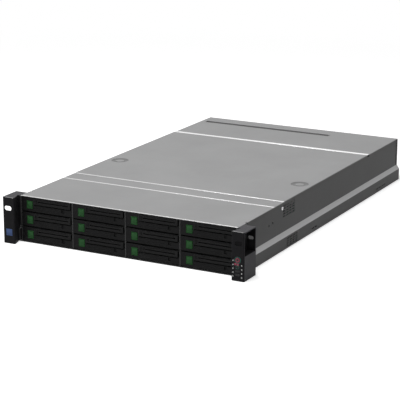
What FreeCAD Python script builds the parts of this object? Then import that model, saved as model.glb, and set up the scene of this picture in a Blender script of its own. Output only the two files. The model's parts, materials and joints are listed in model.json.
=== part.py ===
"""A 2U rack server with twelve front drive bays, as a parametric FreeCAD document.

Frame: +X to the right as seen from the front, +Y to the back, +Z up, in millimetres.
Y = 0 is the rear face of the rack ears' flanges, which meets the rack's posts.
X = 0 is the middle of the case and Z = 0 is its underside.
"""
import FreeCAD, Part
import math
import os
import re
import Sketcher

Vector = FreeCAD.Vector

# ---------------------------------------------------------------------------
# Driving sizes. Each is written once here and lives in the sheet "Sizes".
# ---------------------------------------------------------------------------
SIZES = {
    # the case
    "deck_inset": 23.3,         # edge of the rack ears to the case's upper side
    "base_inset": 17.8,         # edge of the rack ears to the lower side, under the ledge
    "case_height": 86.1,        # underside to the top of the main cover
    "case_depth": 734.0,
    "face_setback": 22.0,       # the case's front edge, ahead of the rack plane
    "wall": 1.2,                # steel of the tray
    "ledge_low": 22.6,          # where the slanted rail ledge starts
    "ledge_high": 30.8,         # where it ends
    "side_slot_tall": 2.2,      # all slots in the side walls
    "upper_slots_back": 157.0,  # group of slots over the ledge
    "upper_slots_down": 26.4,   # lowest of them, under the top of the wall
    "upper_slot_step": 13.0,
    "upper_slot_rise": 4.8,
    "upper_slot_long": 9.0,
    "lower_slots_back": 162.0,  # group of slots under the ledge
    "lower_slots_up": 3.4,
    "lower_slot_step": 12.0,
    "lower_slot_rise": 4.4,
    "lower_slot_long": 8.5,
    "rail_slots_up": 6.8,       # single slots along the lower wall
    "rail_slot_step": 13.0,
    "pair_slots_back": 271.0,
    "tail_slots_ahead": 126.0,  # last group of slots, to the back of the case
    "side_hole_back": 113.5,
    "side_hole_up": 58.5,
    "side_hole_step": 15.0,
    "side_hole_drop": 1.5,
    "side_hole_radius": 2.0,
    # the covers
    "cover_sheet": 1.0,
    "cover_raise": 0.7,         # main cover above the front and rear covers
    "front_cover_end": 120.8,
    "cover_seam": 2.4,          # groove between the front cover and its rear strip
    "seam_depth": 0.6,
    "cover_gap": 0.8,           # rear strip to the main cover
    "main_cover_start": 162.0,
    "main_cover_end": 547.5,
    "slide_back_gap": 10.0,     # room for the main cover to slide back
    "rim_width": 7.0,           # folded rim under the main cover's edge
    "rear_rim_drop": 3.0,
    "skirt_drop": 11.0,         # flange that hangs inside the side walls
    "skirt_gap": 0.4,
    "dimple_radius": 17.0,
    "dimple_depth": 1.4,
    "dimple_in": 26.0,          # from the side of the cover
    "dimple_back": 283.0,
    "vent_in": 12.0,            # long slot in the rear cover: its ends, from the sides
    "vent_out": 136.0,
    "vent_back": 47.5,          # slot to the back of the case
    "vent_width": 13.0,
    # the drive bays
    "cage_side": 0.8,           # side wall to the middle of the first divider
    "divider": 1.2,
    "cage_end": 147.0,
    "notch_long": 4.0,          # notches in the upper edges at the front
    "notch_wide": 3.2,
    "notch_deep": 3.0,
    "notch_front": 3.0,         # first notch, behind the case's front edge
    "notch_step": 30.0,
    "rail_sheet": 1.0,          # thickness of the carriers' guide rails
    "rail_reach": 2.4,          # how far a guide rail reaches into the bay
    "guide_in": 2.0,            # bezel to the front of the guide rails
    "cross_depth": 7.0,         # cross members at the back of the cage
    "slide_gap": 0.2,           # carrier over its rails
    "bezel_gap": 0.4,           # bezel to the divider and to the next bezel
    "bezel_depth": 12.0,
    "disk_room": 3.2,           # side of a disk to the middle of the divider
    "disk_length": 147.0,
    "disk_over": 0.43,          # over a disk, to the row above
    "disk_back": 8.0,           # front of the disk, ahead of the rack plane
    "side_rail_gap": 0.7,       # carrier's side rail to the divider
    "side_rail_height": 14.0,
    "bezel_mullion": 16.0,      # upright rib between the two sets of vents
    "bezel_rib": 1.5,
    "bezel_slot": 2.3,
    "bezel_vent_depth": 7.0,
    # the release button of a carrier, places from the left edge of the bezel
    "touch_left": 11.0,
    "touch_width": 12.6,
    "touch_height": 14.4,
    "touch_depth": 5.0,
    "touch_proud": 0.5,
    "touch_gap": 0.25,
    # the eject lever
    "lever_height": 10.0,
    "lever_thick": 6.2,
    "lever_proud": 0.6,
    "lever_gap": 0.4,
    "lever_bed": 7.6,           # depth of the button's and the lever's beds
    "lever_end": 6.2,           # pivot to the right edge of the bezel
    "lever_down": 1.5,          # top of the lever under the top of the bezel
    "lever_in": 1.6,            # lever's bed to the release button
    "lever_bed_edge": 1.0,      # lever's bed to the right edge of the bezel
    "lever_groove": 1.4,
    "lever_groove_pitch": 3.0,
    "lever_groove_depth": 0.8,
    "lever_channel_in": 14.0,   # from the free end to the long shallow channel
    "lever_channel_end": 8.0,   # from the channel to the pivot
    "lever_heel": 3.0,          # pivot to the lever's own end
    "lever_bevel": 1.4,
    "pin_radius": 1.2,
    "pin_gap": 0.05,
    # the backplane
    "board_sheet": 1.6,
    "socket_depth": 6.0,
    "socket_wide": 34.0,
    "socket_tall": 7.0,
    "socket_in": 14.0,          # sockets and air windows, from the middle of the bay
    "socket_up": 3.0,
    "air_in": 12.0,
    "air_up": 6.0,
    "air_wide": 52.0,
    "air_tall": 15.0,
    "backplane_edge": 2.0,
    # the fans
    "fan_over": 2.8,            # fan frame to the cover
    "fan_depth": 38.0,
    "fan_lift": 0.4,            # frames over the floor, on their feet
    "fan_foot_reach": 5.0,
    "fan_foot_in": 4.0,
    "fan_foot_tall": 2.4,
    "fan_start": 176.0,
    "fan_room": 4.0,            # fan to fan, less than bay to bay by this
    "duct_wall": 1.6,           # thinnest wall of the round duct
    "rotor_hub": 17.0,
    "rotor_gap": 0.8,
    "hub_start": 4.0,           # nose of the hub behind the frame's front
    "blade_share": 0.08,        # thickness of a blade, and its bow, as a share of its chord
    "blade_sink": 3.0,          # root of a blade inside the hub
    "blade_tip_gap": 2.4,       # tip of a blade to the duct, before its sweep
    "blade_chord": 23.0,
    "motor_seat": 28.0,
    "strut_wide": 4.0,
    "strut_deep": 3.0,
    "shaft_radius": 2.5,
    "shaft_length": 14.0,
    # the main board
    "pcb_gap": 8.0,             # underside of the board over the floor of the tray
    "pcb_sheet": 2.0,
    "pcb_room": 12.0,           # side of the board to the side of the case
    "pcb_start": 236.0,
    "pcb_notch_in": 90.0,       # the board's notch beside the power supplies
    "pcb_notch_room": 31.0,     # board to the power supplies
    "pcb_edge": 12.0,           # standoffs from the edges of the board
    "cpu_out": 92.0,
    "cpu_room": 121.0,          # middle of the processors to the notch
    "cpu_socket": 70.0,
    "cpu_socket_tall": 5.0,
    "sink_width": 92.0,
    "sink_length": 104.0,
    "sink_base": 6.0,
    "sink_height": 58.0,
    "fin_sheet": 1.2,
    "fin_pitch": 6.5,
    "standoff": 6.0,
    "dimm_length": 142.0,
    "dimm_wide": 6.2,
    "dimm_pitch": 9.4,
    "dimm_gap": 8.0,            # first memory socket from the heat sink
    "module_length": 133.0,
    "module_sheet": 1.6,
    "module_height": 31.0,
    # the rear wall
    "psu_width": 73.5,
    "psu_over": 3.4,            # upper power supply to the top of the wall
    "psu_length": 185.0,
    "psu_gap": 0.6,
    "psu_shelf": 0.8,           # sheet of the power supplies' bay
    "rear_air_in": 13.9,        # air slots to the power supplies
    "rear_air_low": 31.0,
    "rear_air_long": 32.0,
    "rear_air_gap": 4.0,
    "rear_air_tall": 4.4,
    "rear_air_pitch": 7.6,
    "psu_edge": 3.4,            # power supply to the inside of the side wall
    "psu_flange": 1.6,          # power supply's face in front of the rear wall
    "handle_reach": 26.0,
    "handle_bar": 6.0,
    "handle_tall": 9.0,
    "handle_gap": 24.0,
    "inlet_width": 27.0,
    "inlet_height": 20.0,
    "inlet_depth": 16.0,
    "inlet_in": 5.0,            # inlet from the right edge of the power supply
    "inlet_down": 4.0,          # under the middle of the power supply
    "contact_half": 1.0,        # half the thickness of a contact blade in the inlet
    "contact_side": 7.0,
    "contact_offset": 3.0,
    "contact_back": 3.0,        # ends of the blades behind the face
    "latch_sheet": 3.2,
    "latch_tall": 10.0,
    "latch_edge": 4.0,
    "latch_down": 1.6,
    "latch_bed": 7.0,           # depth of the latch's channel
    "latch_groove": 1.4,
    "latch_groove_pitch": 3.0,
    "latch_groove_depth": 0.6,
    "latch_reach": 15.0,
    "latch_travel": 2.5,
    "latch_gap": 0.4,
    "grille_radius": 15.0,
    "grille_edge": 4.0,
    "grille_depth": 3.0,
    "guard_pitch": 5.2,
    "guard_wire": 1.4,
    "guard_back": 2.4,          # guard's bars behind the face
    "slot_to_air": 22.0,        # expansion slots to the air slots beside them
    "slot_height": 17.0,
    "slot_pitch": 20.3,
    "slot_in": 12.8,            # first expansion slot to the side wall
    "slot_between": 16.0,
    "slot_bottom": 14.0,
    "slot_gap": 0.4,
    "blank_sheet": 1.0,
    "blank_lip": 4.0,           # lip behind the wall, past each end of the slot
    "blank_rise": 0.8,
    "blank_air_in": 13.5,
    "blank_air_gap": 5.0,
    "blank_air_tall": 6.4,
    # the rear ports on the board
    "port_gap": 0.4,
    "port_step": 18.3,
    "port_bottom": 4.0,         # over the board
    "lan_width": 16.0,
    "lan_height": 13.5,
    "usb_width": 14.6,
    "usb_height": 7.0,
    "vga_width": 31.0,
    "vga_height": 12.0,
    "port_depth": 18.0,
    "port_back": 3.0,           # thickness at the inner end of a port
    "port_wall": 1.4,
    "port_proud": 0.6,
    # the rack ears
    "rack_width": 482.6,
    "ear_reach": 44.0,          # front of the ear, ahead of the rack plane
    "ear_width": 24.8,
    "ear_skin": 2.0,
    "ear_split": 43.6,          # the open upper half starts here
    "ear_round": 2.0,
    "rack_slot_in": 8.75,       # from the edge: 465.1 mm between the posts' holes
    "rack_slot_up": 65.2,
    "rack_slot_long": 10.6,
    "rack_slot_tall": 7.0,
    "access_in": 10.9,          # slot in the ear's face, for the screwdriver
    "access_long": 15.4,
    "access_tall": 8.6,
    "panel_inset": 0.6,
    "panel_edge": 2.0,
    "power_up": 36.6,
    "power_radius": 4.6,
    "ident_up": 24.0,
    "ident_radius": 2.2,
    "knob_gap": 0.3,
    "knob_depth": 5.0,
    "knob_travel": 1.5,
    "knob_dish": 0.4,
    "label_up": 20.8,
    "label_size": 14.0,
    # the screws
    "screw_radius": 3.2,
    "screw_head": 1.6,
    "rear_screw_down": 5.0,
    "rear_screw_side": 6.0,     # right one, from the power supplies' opening
    "side_screw_back": 152.0,
    "side_screw_down": 8.9,     # under the top of the wall
    "rear_screw_in": 9.0,
}

COLUMNS = 4
ROWS = 3
FANS = 4
BLADES = 7
BLADE_SLOPE = 44    # degrees from the fan's plane
SLOT_ROWS = 3
SLOT_COLUMNS = 2
BLANK_AIR = 5
GUARD_BARS = 2      # upright bars each side of the middle one
DIMMS_PER_SIDE = 4
REAR_AIR_ROWS = 6
REAR_AIR_COLUMNS = 2

# Sizes that follow from the driving ones, as formulas in the same sheet.
FOLLOWING = {
    "deck_width": "rack_width - 2 * deck_inset",        # upper part, over the side walls
    "base_width": "rack_width - 2 * base_inset",        # lower part, under the ledge
    "wall_top": "case_height - cover_raise - cover_sheet",
    "bay_pitch": f"(deck_width - 2 * wall - 2 * cage_side) / {COLUMNS}",
    "row_pitch": f"(wall_top - wall) / {ROWS}",
    "disk_width": "bay_pitch - 2 * disk_room",
    "disk_height": "row_pitch - rail_sheet - slide_gap - disk_over",
    "dimple_out": "deck_width / 2 - dimple_in",
    "fan_size": "wall_top - wall - fan_lift - fan_over",
    "fan_pitch": "bay_pitch - fan_room",
    "duct_radius": "fan_size / 2 - duct_wall",
    "pcb_width": "deck_width - 2 * pcb_room",
    "pcb_notch_x": "deck_width / 2 - pcb_notch_in",
    "pcb_notch_y": "case_depth - face_setback - psu_length - pcb_notch_room",
    "cpu_back": "pcb_notch_y - cpu_room",
    "psu_height": "(wall_top - psu_over - wall - 3 * slide_gap - psu_shelf) / 2",
    "rear_room": "deck_width - 2 * wall - psu_edge - psu_width",    # beside the power supplies
    "rear_air_width": "2 * rear_air_long + rear_air_gap",
    "slot_width": "(rear_room - slot_in - slot_between - slot_to_air - rear_air_width - rear_air_in) / 2",
    "blank_air_step": f"(slot_width - 2 * blank_air_in + blank_air_gap) / {BLANK_AIR}",
    "ear_inner": "rack_width / 2 - ear_width",
    "rack_slot_out": "rack_width / 2 - rack_slot_in",
    "access_out": "rack_width / 2 - access_in",
}

doc = FreeCAD.newDocument("rack_server")


def make_sheet():
    """Puts the driving sizes and the ones that follow into the sheet, one cell and alias each."""
    sheet = doc.addObject("Spreadsheet::Sheet", "Sizes")
    cells = {alias: str(value) for alias, value in SIZES.items()}
    cells.update({alias: "=" + formula for alias, formula in FOLLOWING.items()})
    for row, alias in enumerate(cells, start=1):
        sheet.set(f"A{row}", alias)
        sheet.setAlias(f"B{row}", alias)
    for row, content in enumerate(cells.values(), start=1):
        sheet.set(f"B{row}", content)
    return sheet


# Heights and places that several pieces share, as formulas on the sheet's cells.
DECK = "(case_height - cover_raise)"                    # top of the front and rear covers
FRONT = "(-face_setback)"
REAR = "(case_depth - face_setback)"
INSIDE = "(deck_width / 2 - wall)"
BAY_WIDTH = "(bay_pitch - divider)"
BEZEL_LEFT = f"(-{BAY_WIDTH} / 2 + bezel_gap)"
BEZEL_RIGHT = f"({BAY_WIDTH} / 2 - bezel_gap)"
BEZEL_LOW = "bezel_gap"
BEZEL_HIGH = "(row_pitch - bezel_gap)"
PIVOT_X = f"({BEZEL_RIGHT} - lever_end)"
PIVOT_Y = "(-face_setback - lever_proud + lever_thick / 2)"
LEVER_TOP = f"({BEZEL_HIGH} - lever_down)"
LEVER_LOW = f"({LEVER_TOP} - lever_height)"
TOUCH_X = f"({BEZEL_LEFT} + touch_left)"
TOUCH_Z = "(row_pitch / 2)"
LEVER_START = f"({TOUCH_X} + touch_width + lever_in)"
FAN_AXIS_Z = "(wall + fan_lift + fan_size / 2)"
PSU_RIGHT = f"({INSIDE} - psu_edge)"
PSU_LEFT = f"({PSU_RIGHT} - psu_width)"
REAR_AIR_LEFT = f"({PSU_LEFT} - rear_air_in - rear_air_width)"
PCB_LOW = "(wall + pcb_gap)"
PCB_TOP = f"({PCB_LOW} + pcb_sheet)"
PORT_LOW = f"({PCB_TOP} + port_bottom)"
PSU_LOW = ["(wall + slide_gap)", "(wall + 3 * slide_gap + psu_height + psu_shelf)"]
FLANGE = f"({REAR} + psu_flange)"                       # face of the power supplies
FAN_SEAT = "(fan_start + fan_depth - strut_deep)"       # front of the fans' struts

WORD = re.compile(r"[a-z][a-z_]*")
ALIASES = {*SIZES, *FOLLOWING}


def bound(formula):
    """Turns each size's plain name in a formula into the sheet's cell."""
    return WORD.sub(lambda word: "Sizes." + word[0] if word[0] in ALIASES else word[0], str(formula))


def tie(item, path, formula):
    """Binds one property of an object to a formula."""
    item.setExpression(path, bound(formula))


def place(item, x="0", y="0", z="0"):
    """Binds the place of an object."""
    tie(item, "Placement.Base.x", x)
    tie(item, "Placement.Base.y", y)
    tie(item, "Placement.Base.z", z)
    return item


# ---------------------------------------------------------------------------
# Solids from primitives
# ---------------------------------------------------------------------------
def block(name, x, y, z):
    """A box between the two formulas given for each direction."""
    item = doc.addObject("Part::Box", name)
    tie(item, "Length", f"({x[1]}) - ({x[0]})")
    tie(item, "Width", f"({y[1]}) - ({y[0]})")
    tie(item, "Height", f"({z[1]}) - ({z[0]})")
    return place(item, x[0], y[0], z[0])


TURNS = {
    "X": FreeCAD.Rotation(Vector(0, 1, 0), 90),
    "Y": FreeCAD.Rotation(Vector(1, 0, 0), -90),
    "Z": FreeCAD.Rotation(),
}


def rod(name, radius, length, x, y, z, along="Z"):
    """A cylinder that starts at a point and runs along +X, +Y or +Z."""
    item = doc.addObject("Part::Cylinder", name)
    tie(item, "Radius", radius)
    tie(item, "Height", length)
    item.Placement = FreeCAD.Placement(Vector(), TURNS[along])
    return place(item, x, y, z)


def joined(name, items):
    """One solid made of several."""
    item = doc.addObject("Part::MultiFuse", name)
    item.Shapes = items
    item.Refine = True
    return item


def carved(name, base, tools):
    """A solid with several tools cut out of it."""
    item = doc.addObject("Part::Cut", name)
    item.Base = base
    item.Tool = tools[0] if len(tools) == 1 else joined(name + "_tools", tools)
    item.Refine = True
    return item


def grouped(name, items):
    """Separate solids that share one node."""
    item = doc.addObject("Part::Compound", name)
    item.Links = items
    return item


# ---------------------------------------------------------------------------
# Bodies and sketches
# ---------------------------------------------------------------------------
def new_body(name):
    return doc.addObject("PartDesign::Body", name)


def sketch_on(body, name, role, offset="0"):
    """A sketch on one of the body's own origin planes, moved along the plane's normal."""
    sketch = body.newObject("Sketcher::SketchObject", name)
    plane = next(item for item in body.Origin.OriginFeatures if item.Role == role)
    sketch.AttachmentSupport = (plane, [""])
    sketch.MapMode = "FlatFace"
    tie(sketch, "AttachmentOffset.Base.z", offset)
    return sketch


def box_corners(x, y):
    """The corners of a rectangle between the two formulas given for each direction."""
    return [(x[0], y[0]), (x[1], y[0]), (x[1], y[1]), (x[0], y[1])]


FIRST_LOOP = 100    # outlines are drawn apart at first, and their formulas then move them
LOOP_STEP = 20


def draw(sketch, loops):
    """Draws closed straight outlines, each a list of corners given as pairs of formulas."""
    edges = []
    joints = []
    places = []
    formulas = []
    for turn, corners in enumerate(loops):
        first = len(edges)
        count = len(corners)
        size = FIRST_LOOP + LOOP_STEP * turn
        start = [
            Vector(size * math.cos(2 * math.pi * i / count), size * math.sin(2 * math.pi * i / count), 0)
            for i in range(count)
        ]
        for i, (across, up) in enumerate(corners):
            following = (i + 1) % count
            edges.append(Part.LineSegment(start[i], start[following]))
            joints.append(Sketcher.Constraint("Coincident", first + i, 2, first + following, 1))
            places.append(Sketcher.Constraint("DistanceX", -1, 1, first + i, 1, start[i].x))
            places.append(Sketcher.Constraint("DistanceY", -1, 1, first + i, 1, start[i].y))
            formulas += [across, up]
    sketch.addGeometry(edges)
    sketch.addConstraint(joints + places)
    for number, formula in enumerate(formulas, start=len(joints)):
        tie(sketch, f"Constraints[{number}]", formula)


def draw_circles(sketch, circles):
    """Draws circles, each given as formulas for its centre's two places and its radius."""
    places = []
    formulas = []
    for number, (across, up, radius) in enumerate(circles):
        sketch.addGeometry(Part.Circle(Vector(10, 10, 0), Vector(0, 0, 1), 5))
        places.append(Sketcher.Constraint("DistanceX", -1, 1, number, 3, 10))
        places.append(Sketcher.Constraint("DistanceY", -1, 1, number, 3, 10))
        places.append(Sketcher.Constraint("Radius", number, 5))
        formulas += [across, up, radius]
    sketch.addConstraint(places)
    for number, formula in enumerate(formulas):
        tie(sketch, f"Constraints[{number}]", formula)


NORMALS = {"XY_Plane": "+Z", "XZ_Plane": "-Y", "YZ_Plane": "+X"}


def pad(body, name, sketch, length, toward):
    """Adds the sketch's outline, towards one direction of its plane's normal."""
    item = body.newObject("PartDesign::Pad", name)
    item.Profile = sketch
    item.Reversed = toward != NORMALS[sketch.AttachmentSupport[0][0].Role]
    tie(item, "Length", length)
    return item


def pocket(body, name, sketch, length, toward):
    """Cuts the sketch's outline, towards one direction of its plane's normal."""
    item = body.newObject("PartDesign::Pocket", name)
    item.Profile = sketch
    item.Reversed = toward == NORMALS[sketch.AttachmentSupport[0][0].Role]
    tie(item, "Length", length)
    return item


def origin_axis(body, role):
    return next(item for item in body.Origin.OriginFeatures if item.Role == role)


def repeat(body, name, feature, role, count, step):
    """Repeats a feature along one of the body's axes."""
    row = body.newObject("PartDesign::LinearPattern", name)
    row.Originals = [feature]
    row.Direction = (origin_axis(body, role), [""])
    row.Occurrences = count
    tie(row, "Length", f"{step} * {count - 1}")
    body.Tip = row
    return row


def rounded(body, name, base, radius, along, wanted=lambda point: True):
    """Rounds the straight edges of a feature that run along one axis, where wanted."""
    doc.recompute()
    names = []
    for i, edge in enumerate(base.Shape.Edges, start=1):
        if len(edge.Vertexes) != 2 or not isinstance(edge.Curve, (Part.Line, Part.LineSegment)):
            continue
        way = edge.Vertexes[1].Point - edge.Vertexes[0].Point
        if abs(abs(way.normalize().dot(along)) - 1) < 1e-6 and wanted(edge.CenterOfMass):
            names.append(f"Edge{i}")
    item = body.newObject("PartDesign::Fillet", name)
    item.Base = (base, names)
    tie(item, "Radius", radius)
    return item


# ---------------------------------------------------------------------------
# The case
# ---------------------------------------------------------------------------
def side_profile():
    """The outside of the right-hand wall, from the floor up, as half-width and height."""
    return [
        ("base_width / 2", "0"),
        ("base_width / 2", "ledge_low"),
        ("deck_width / 2", "ledge_high"),
        ("deck_width / 2", "wall_top"),
    ]


def mirrored(corners):
    """The same corners on the other side of the middle, so that they close an outline."""
    return [(f"-({x})", z) for x, z in corners[::-1]]


def slot_group(body, name, y, z, columns, rows, step, rise, long):
    """Rows and columns of slots through both side walls, from the lower front corner."""
    side = sketch_on(body, name + "_column", "YZ_Plane", "-base_width")
    low = [f"({z} + {row} * {rise})" for row in range(rows)]
    draw(side, [box_corners((y, f"{y} + {long}"), (z0, f"{z0} + side_slot_tall")) for z0 in low])
    first = pocket(body, name + "_cut", side, "base_width * 2", "+X")
    repeat(body, name, first, "Y_Axis", columns, step)


def inside_profile():
    """The inside of the right-hand wall, from the floor up."""
    inside = [(f"{x} - wall", z) for x, z in side_profile()]
    inside[0] = ("base_width / 2 - wall", "wall")
    return inside


def notch_spans():
    """Along the case, the two notches in each upper edge beside the drives."""
    starts = [f"({FRONT} + notch_front + {i} * notch_step)" for i in range(2)]
    return [(start, f"{start} + notch_long") for start in starts]


def rear_panel():
    """The panel that closes the tray at the back, with the openings of all that sits there."""
    body = new_body("rear_panel")
    back = sketch_on(body, "rear_section", "XZ_Plane", f"wall - {REAR}")
    inside = inside_profile()
    draw(back, [inside + mirrored(inside)])
    pad(body, "rear_wall", back, "wall", "+Y")

    holes = sketch_on(body, "rear_holes", "XZ_Plane", f"-{REAR} + wall + 1")
    loops = []
    loops.append(box_corners((f"{PSU_LEFT} - psu_gap", f"{PSU_RIGHT} + psu_gap"),
                             ("wall", f"{PSU_LOW[1]} + psu_height + psu_gap")))
    for x0, z0 in slot_corners():
        loops.append(box_corners((x0, f"{x0} + slot_width"), (z0, f"{z0} + slot_height")))
    for x0, width, height in PORTS:
        loops.append(box_corners((f"{x0} - port_gap", f"{x0} + {width} + port_gap"),
                                 (f"{PCB_TOP} - port_gap", f"{PORT_LOW} + {height} + port_gap")))
    draw(holes, loops)
    pocket(body, "rear_openings", holes, "wall + 3", "+Y")

    air = sketch_on(body, "rear_air_column", "XZ_Plane", f"-{REAR} + wall + 1")
    low = [f"(rear_air_low + {row} * rear_air_pitch)" for row in range(REAR_AIR_ROWS)]
    draw(air, [box_corners((REAR_AIR_LEFT, f"{REAR_AIR_LEFT} + rear_air_long"),
                           (z0, f"{z0} + rear_air_tall")) for z0 in low])
    first = pocket(body, "rear_air_cut", air, "wall + 3", "+Y")
    repeat(body, "rear_air", first, "X_Axis", REAR_AIR_COLUMNS, "(rear_air_long + rear_air_gap)")
    return body


def chassis_tray():
    """Folded tray with stepped side walls and the power supplies' bay, and its rear panel."""
    body = new_body("tray_body")
    section = sketch_on(body, "tray_section", "XZ_Plane", "face_setback")
    right = side_profile() + inside_profile()[::-1]
    draw(section, [right + mirrored(right)])
    pad(body, "tray_walls", section, "case_depth", "+Y")

    bay = sketch_on(body, "psu_bay_section", "XZ_Plane", f"wall - {REAR}")
    draw(bay, [
        box_corners((f"{PSU_LEFT} - psu_gap - psu_shelf", f"{PSU_LEFT} - psu_gap"),
                    ("wall", "wall_top - rear_rim_drop")),
        box_corners((f"{PSU_LEFT} - psu_gap", INSIDE),
                    (f"{PSU_LOW[1]} - slide_gap - psu_shelf", f"{PSU_LOW[1]} - slide_gap")),
    ])
    pad(body, "psu_bay", bay, "psu_length - wall", "-Y")

    slot_group(body, "upper_slots", "upper_slots_back", "wall_top - upper_slots_down", 4, 5,
               "upper_slot_step", "upper_slot_rise", "upper_slot_long")
    slot_group(body, "lower_slots", "lower_slots_back", "lower_slots_up", 4, 4,
               "lower_slot_step", "lower_slot_rise", "lower_slot_long")
    slot_group(body, "pair_slots", "pair_slots_back", "rail_slots_up", 2, 1,
               "rail_slot_step", "0", "lower_slot_long")
    slot_group(body, "tail_slots", f"{REAR} - tail_slots_ahead", "rail_slots_up", 4, 1,
               "rail_slot_step", "0", "lower_slot_long")

    round_holes = sketch_on(body, "side_holes", "YZ_Plane", "-base_width")
    draw_circles(round_holes, [
        ("side_hole_back", "side_hole_up", "side_hole_radius"),
        ("side_hole_back - side_hole_step", "side_hole_up - side_hole_drop", "side_hole_radius"),
    ])
    pocket(body, "side_round_holes", round_holes, "base_width * 2", "+X")

    notches = sketch_on(body, "edge_notches", "YZ_Plane", "-base_width")
    draw(notches, [box_corners(span, ("wall_top - notch_deep", "wall_top + 1")) for span in notch_spans()])
    pocket(body, "upper_notches", notches, "base_width * 2", "+X")
    return grouped("chassis_tray", [body, rear_panel()])


def front_cover():
    """The fixed cover over the drives, with a groove across it ahead of its rear strip."""
    sheet = block("front_sheet", ("-deck_width / 2", "deck_width / 2"),
                  (FRONT, "main_cover_start - cover_gap"), ("wall_top", DECK))
    groove = block("front_groove", ("-deck_width / 2 - 1", "deck_width / 2 + 1"),
                   ("front_cover_end", "front_cover_end + cover_seam"),
                   (f"{DECK} - seam_depth", f"{DECK} + 1"))
    notches = []
    for i, span in enumerate(notch_spans()):
        for side, across in (("left", ("-deck_width / 2 - 1", "-deck_width / 2 + notch_wide")),
                             ("right", ("deck_width / 2 - notch_wide", "deck_width / 2 + 1"))):
            notches.append(block(f"cover_notch_{side}_{i}", across, span,
                                 ("wall_top - 1", f"{DECK} + 1")))
    return carved("front_cover", sheet, [groove] + notches)


def main_cover():
    """The cover that lifts off: a sheet with folded rims, side flanges and finger dimples."""
    body = new_body("main_cover")
    top = sketch_on(body, "main_outline", "XY_Plane", "wall_top")
    draw(top, [box_corners(("-deck_width / 2", "deck_width / 2"),
                           ("main_cover_start", "main_cover_end"))])
    pad(body, "main_sheet", top, "cover_sheet + cover_raise", "+Z")
    under = sketch_on(body, "main_under", "XY_Plane", "wall_top")
    draw(under, [box_corners(("-deck_width / 2 + rim_width", "deck_width / 2 - rim_width"),
                             ("main_cover_start + rim_width", "main_cover_end - rim_width"))])
    pocket(body, "main_hollow", under, "cover_raise", "+Z")
    flange = sketch_on(body, "main_flanges", "XY_Plane", "wall_top - skirt_drop")
    right = box_corners((f"{INSIDE} - skirt_gap - cover_sheet", f"{INSIDE} - skirt_gap"),
                        ("main_cover_start + 2", "main_cover_end - 2"))
    draw(flange, [right, mirrored(right)])
    pad(body, "main_skirts", flange, "skirt_drop", "+Z")
    cups = sketch_on(body, "dimple_cups", "XY_Plane", "wall_top + cover_raise - dimple_depth")
    draw_circles(cups, [(side + "dimple_out", "dimple_back", "dimple_radius + cover_sheet")
                        for side in ("-", "")])
    pad(body, "cups", cups, "dimple_depth", "+Z")
    wells = sketch_on(body, "dimple_wells", "XY_Plane", "case_height")
    draw_circles(wells, [(side + "dimple_out", "dimple_back", "dimple_radius")
                         for side in ("-", "")])
    pocket(body, "wells", wells, "dimple_depth", "-Z")
    return body


def rear_cover():
    """The fixed cover at the back, with the long slot and a front rim."""
    body = new_body("rear_cover")
    start = "(main_cover_end + slide_back_gap)"
    top = sketch_on(body, "rear_outline", "XY_Plane", "wall_top")
    draw(top, [box_corners(("-deck_width / 2", "deck_width / 2"), (start, REAR))])
    pad(body, "rear_sheet", top, "cover_sheet", "+Z")
    rim = sketch_on(body, "rear_rim_outline", "XY_Plane", "wall_top - rear_rim_drop")
    draw(rim, [box_corners((f"-{INSIDE} + skirt_gap", f"{INSIDE} - skirt_gap"),
                           (start, f"{start} + cover_sheet"))])
    pad(body, "rear_rim", rim, "rear_rim_drop", "+Z")
    slot = sketch_on(body, "rear_slot_outline", "XY_Plane", "case_height")
    draw(slot, [box_corners(("-deck_width / 2 + vent_in", "deck_width / 2 - vent_out"),
                            (f"{REAR} - vent_back", f"{REAR} - vent_back + vent_width"))])
    pocket(body, "rear_slot", slot, "cover_raise + cover_sheet + 1", "-Z")
    return body


# ---------------------------------------------------------------------------
# The drive bays
# ---------------------------------------------------------------------------
def drive_cage():
    """Five upright dividers with guide rails for three rows, tied by cross members behind."""
    pieces = []
    back = "cage_end - cross_depth"
    for i in range(COLUMNS + 1):
        middle = f"(bay_pitch * {i - COLUMNS / 2})"
        sheets = [block(f"divider_{i}", (f"{middle} - divider / 2", f"{middle} + divider / 2"),
                        (FRONT, back), ("wall", "wall_top"))]
        left = "0" if i == 0 else "rail_reach"
        right = "0" if i == COLUMNS else "rail_reach"
        for row in range(ROWS):
            low = f"(wall + row_pitch * {row})"
            sheets.append(block(f"guide_{i}_{row}",
                                (f"{middle} - divider / 2 - {left}", f"{middle} + divider / 2 + {right}"),
                                (f"{FRONT} + bezel_depth + guide_in", back),
                                (low, f"{low} + rail_sheet")))
        pieces.append(joined(f"upright_{i}", sheets))
    reach = f"(bay_pitch * {COLUMNS} + divider) / 2"
    for row in range(ROWS):
        low = f"(wall + row_pitch * {row})"
        pieces.append(block(f"cross_{row}", (f"-{reach}", reach), (back, "cage_end"),
                            (low, f"{low} + rail_sheet")))
    return grouped("drive_cage", pieces)


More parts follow.
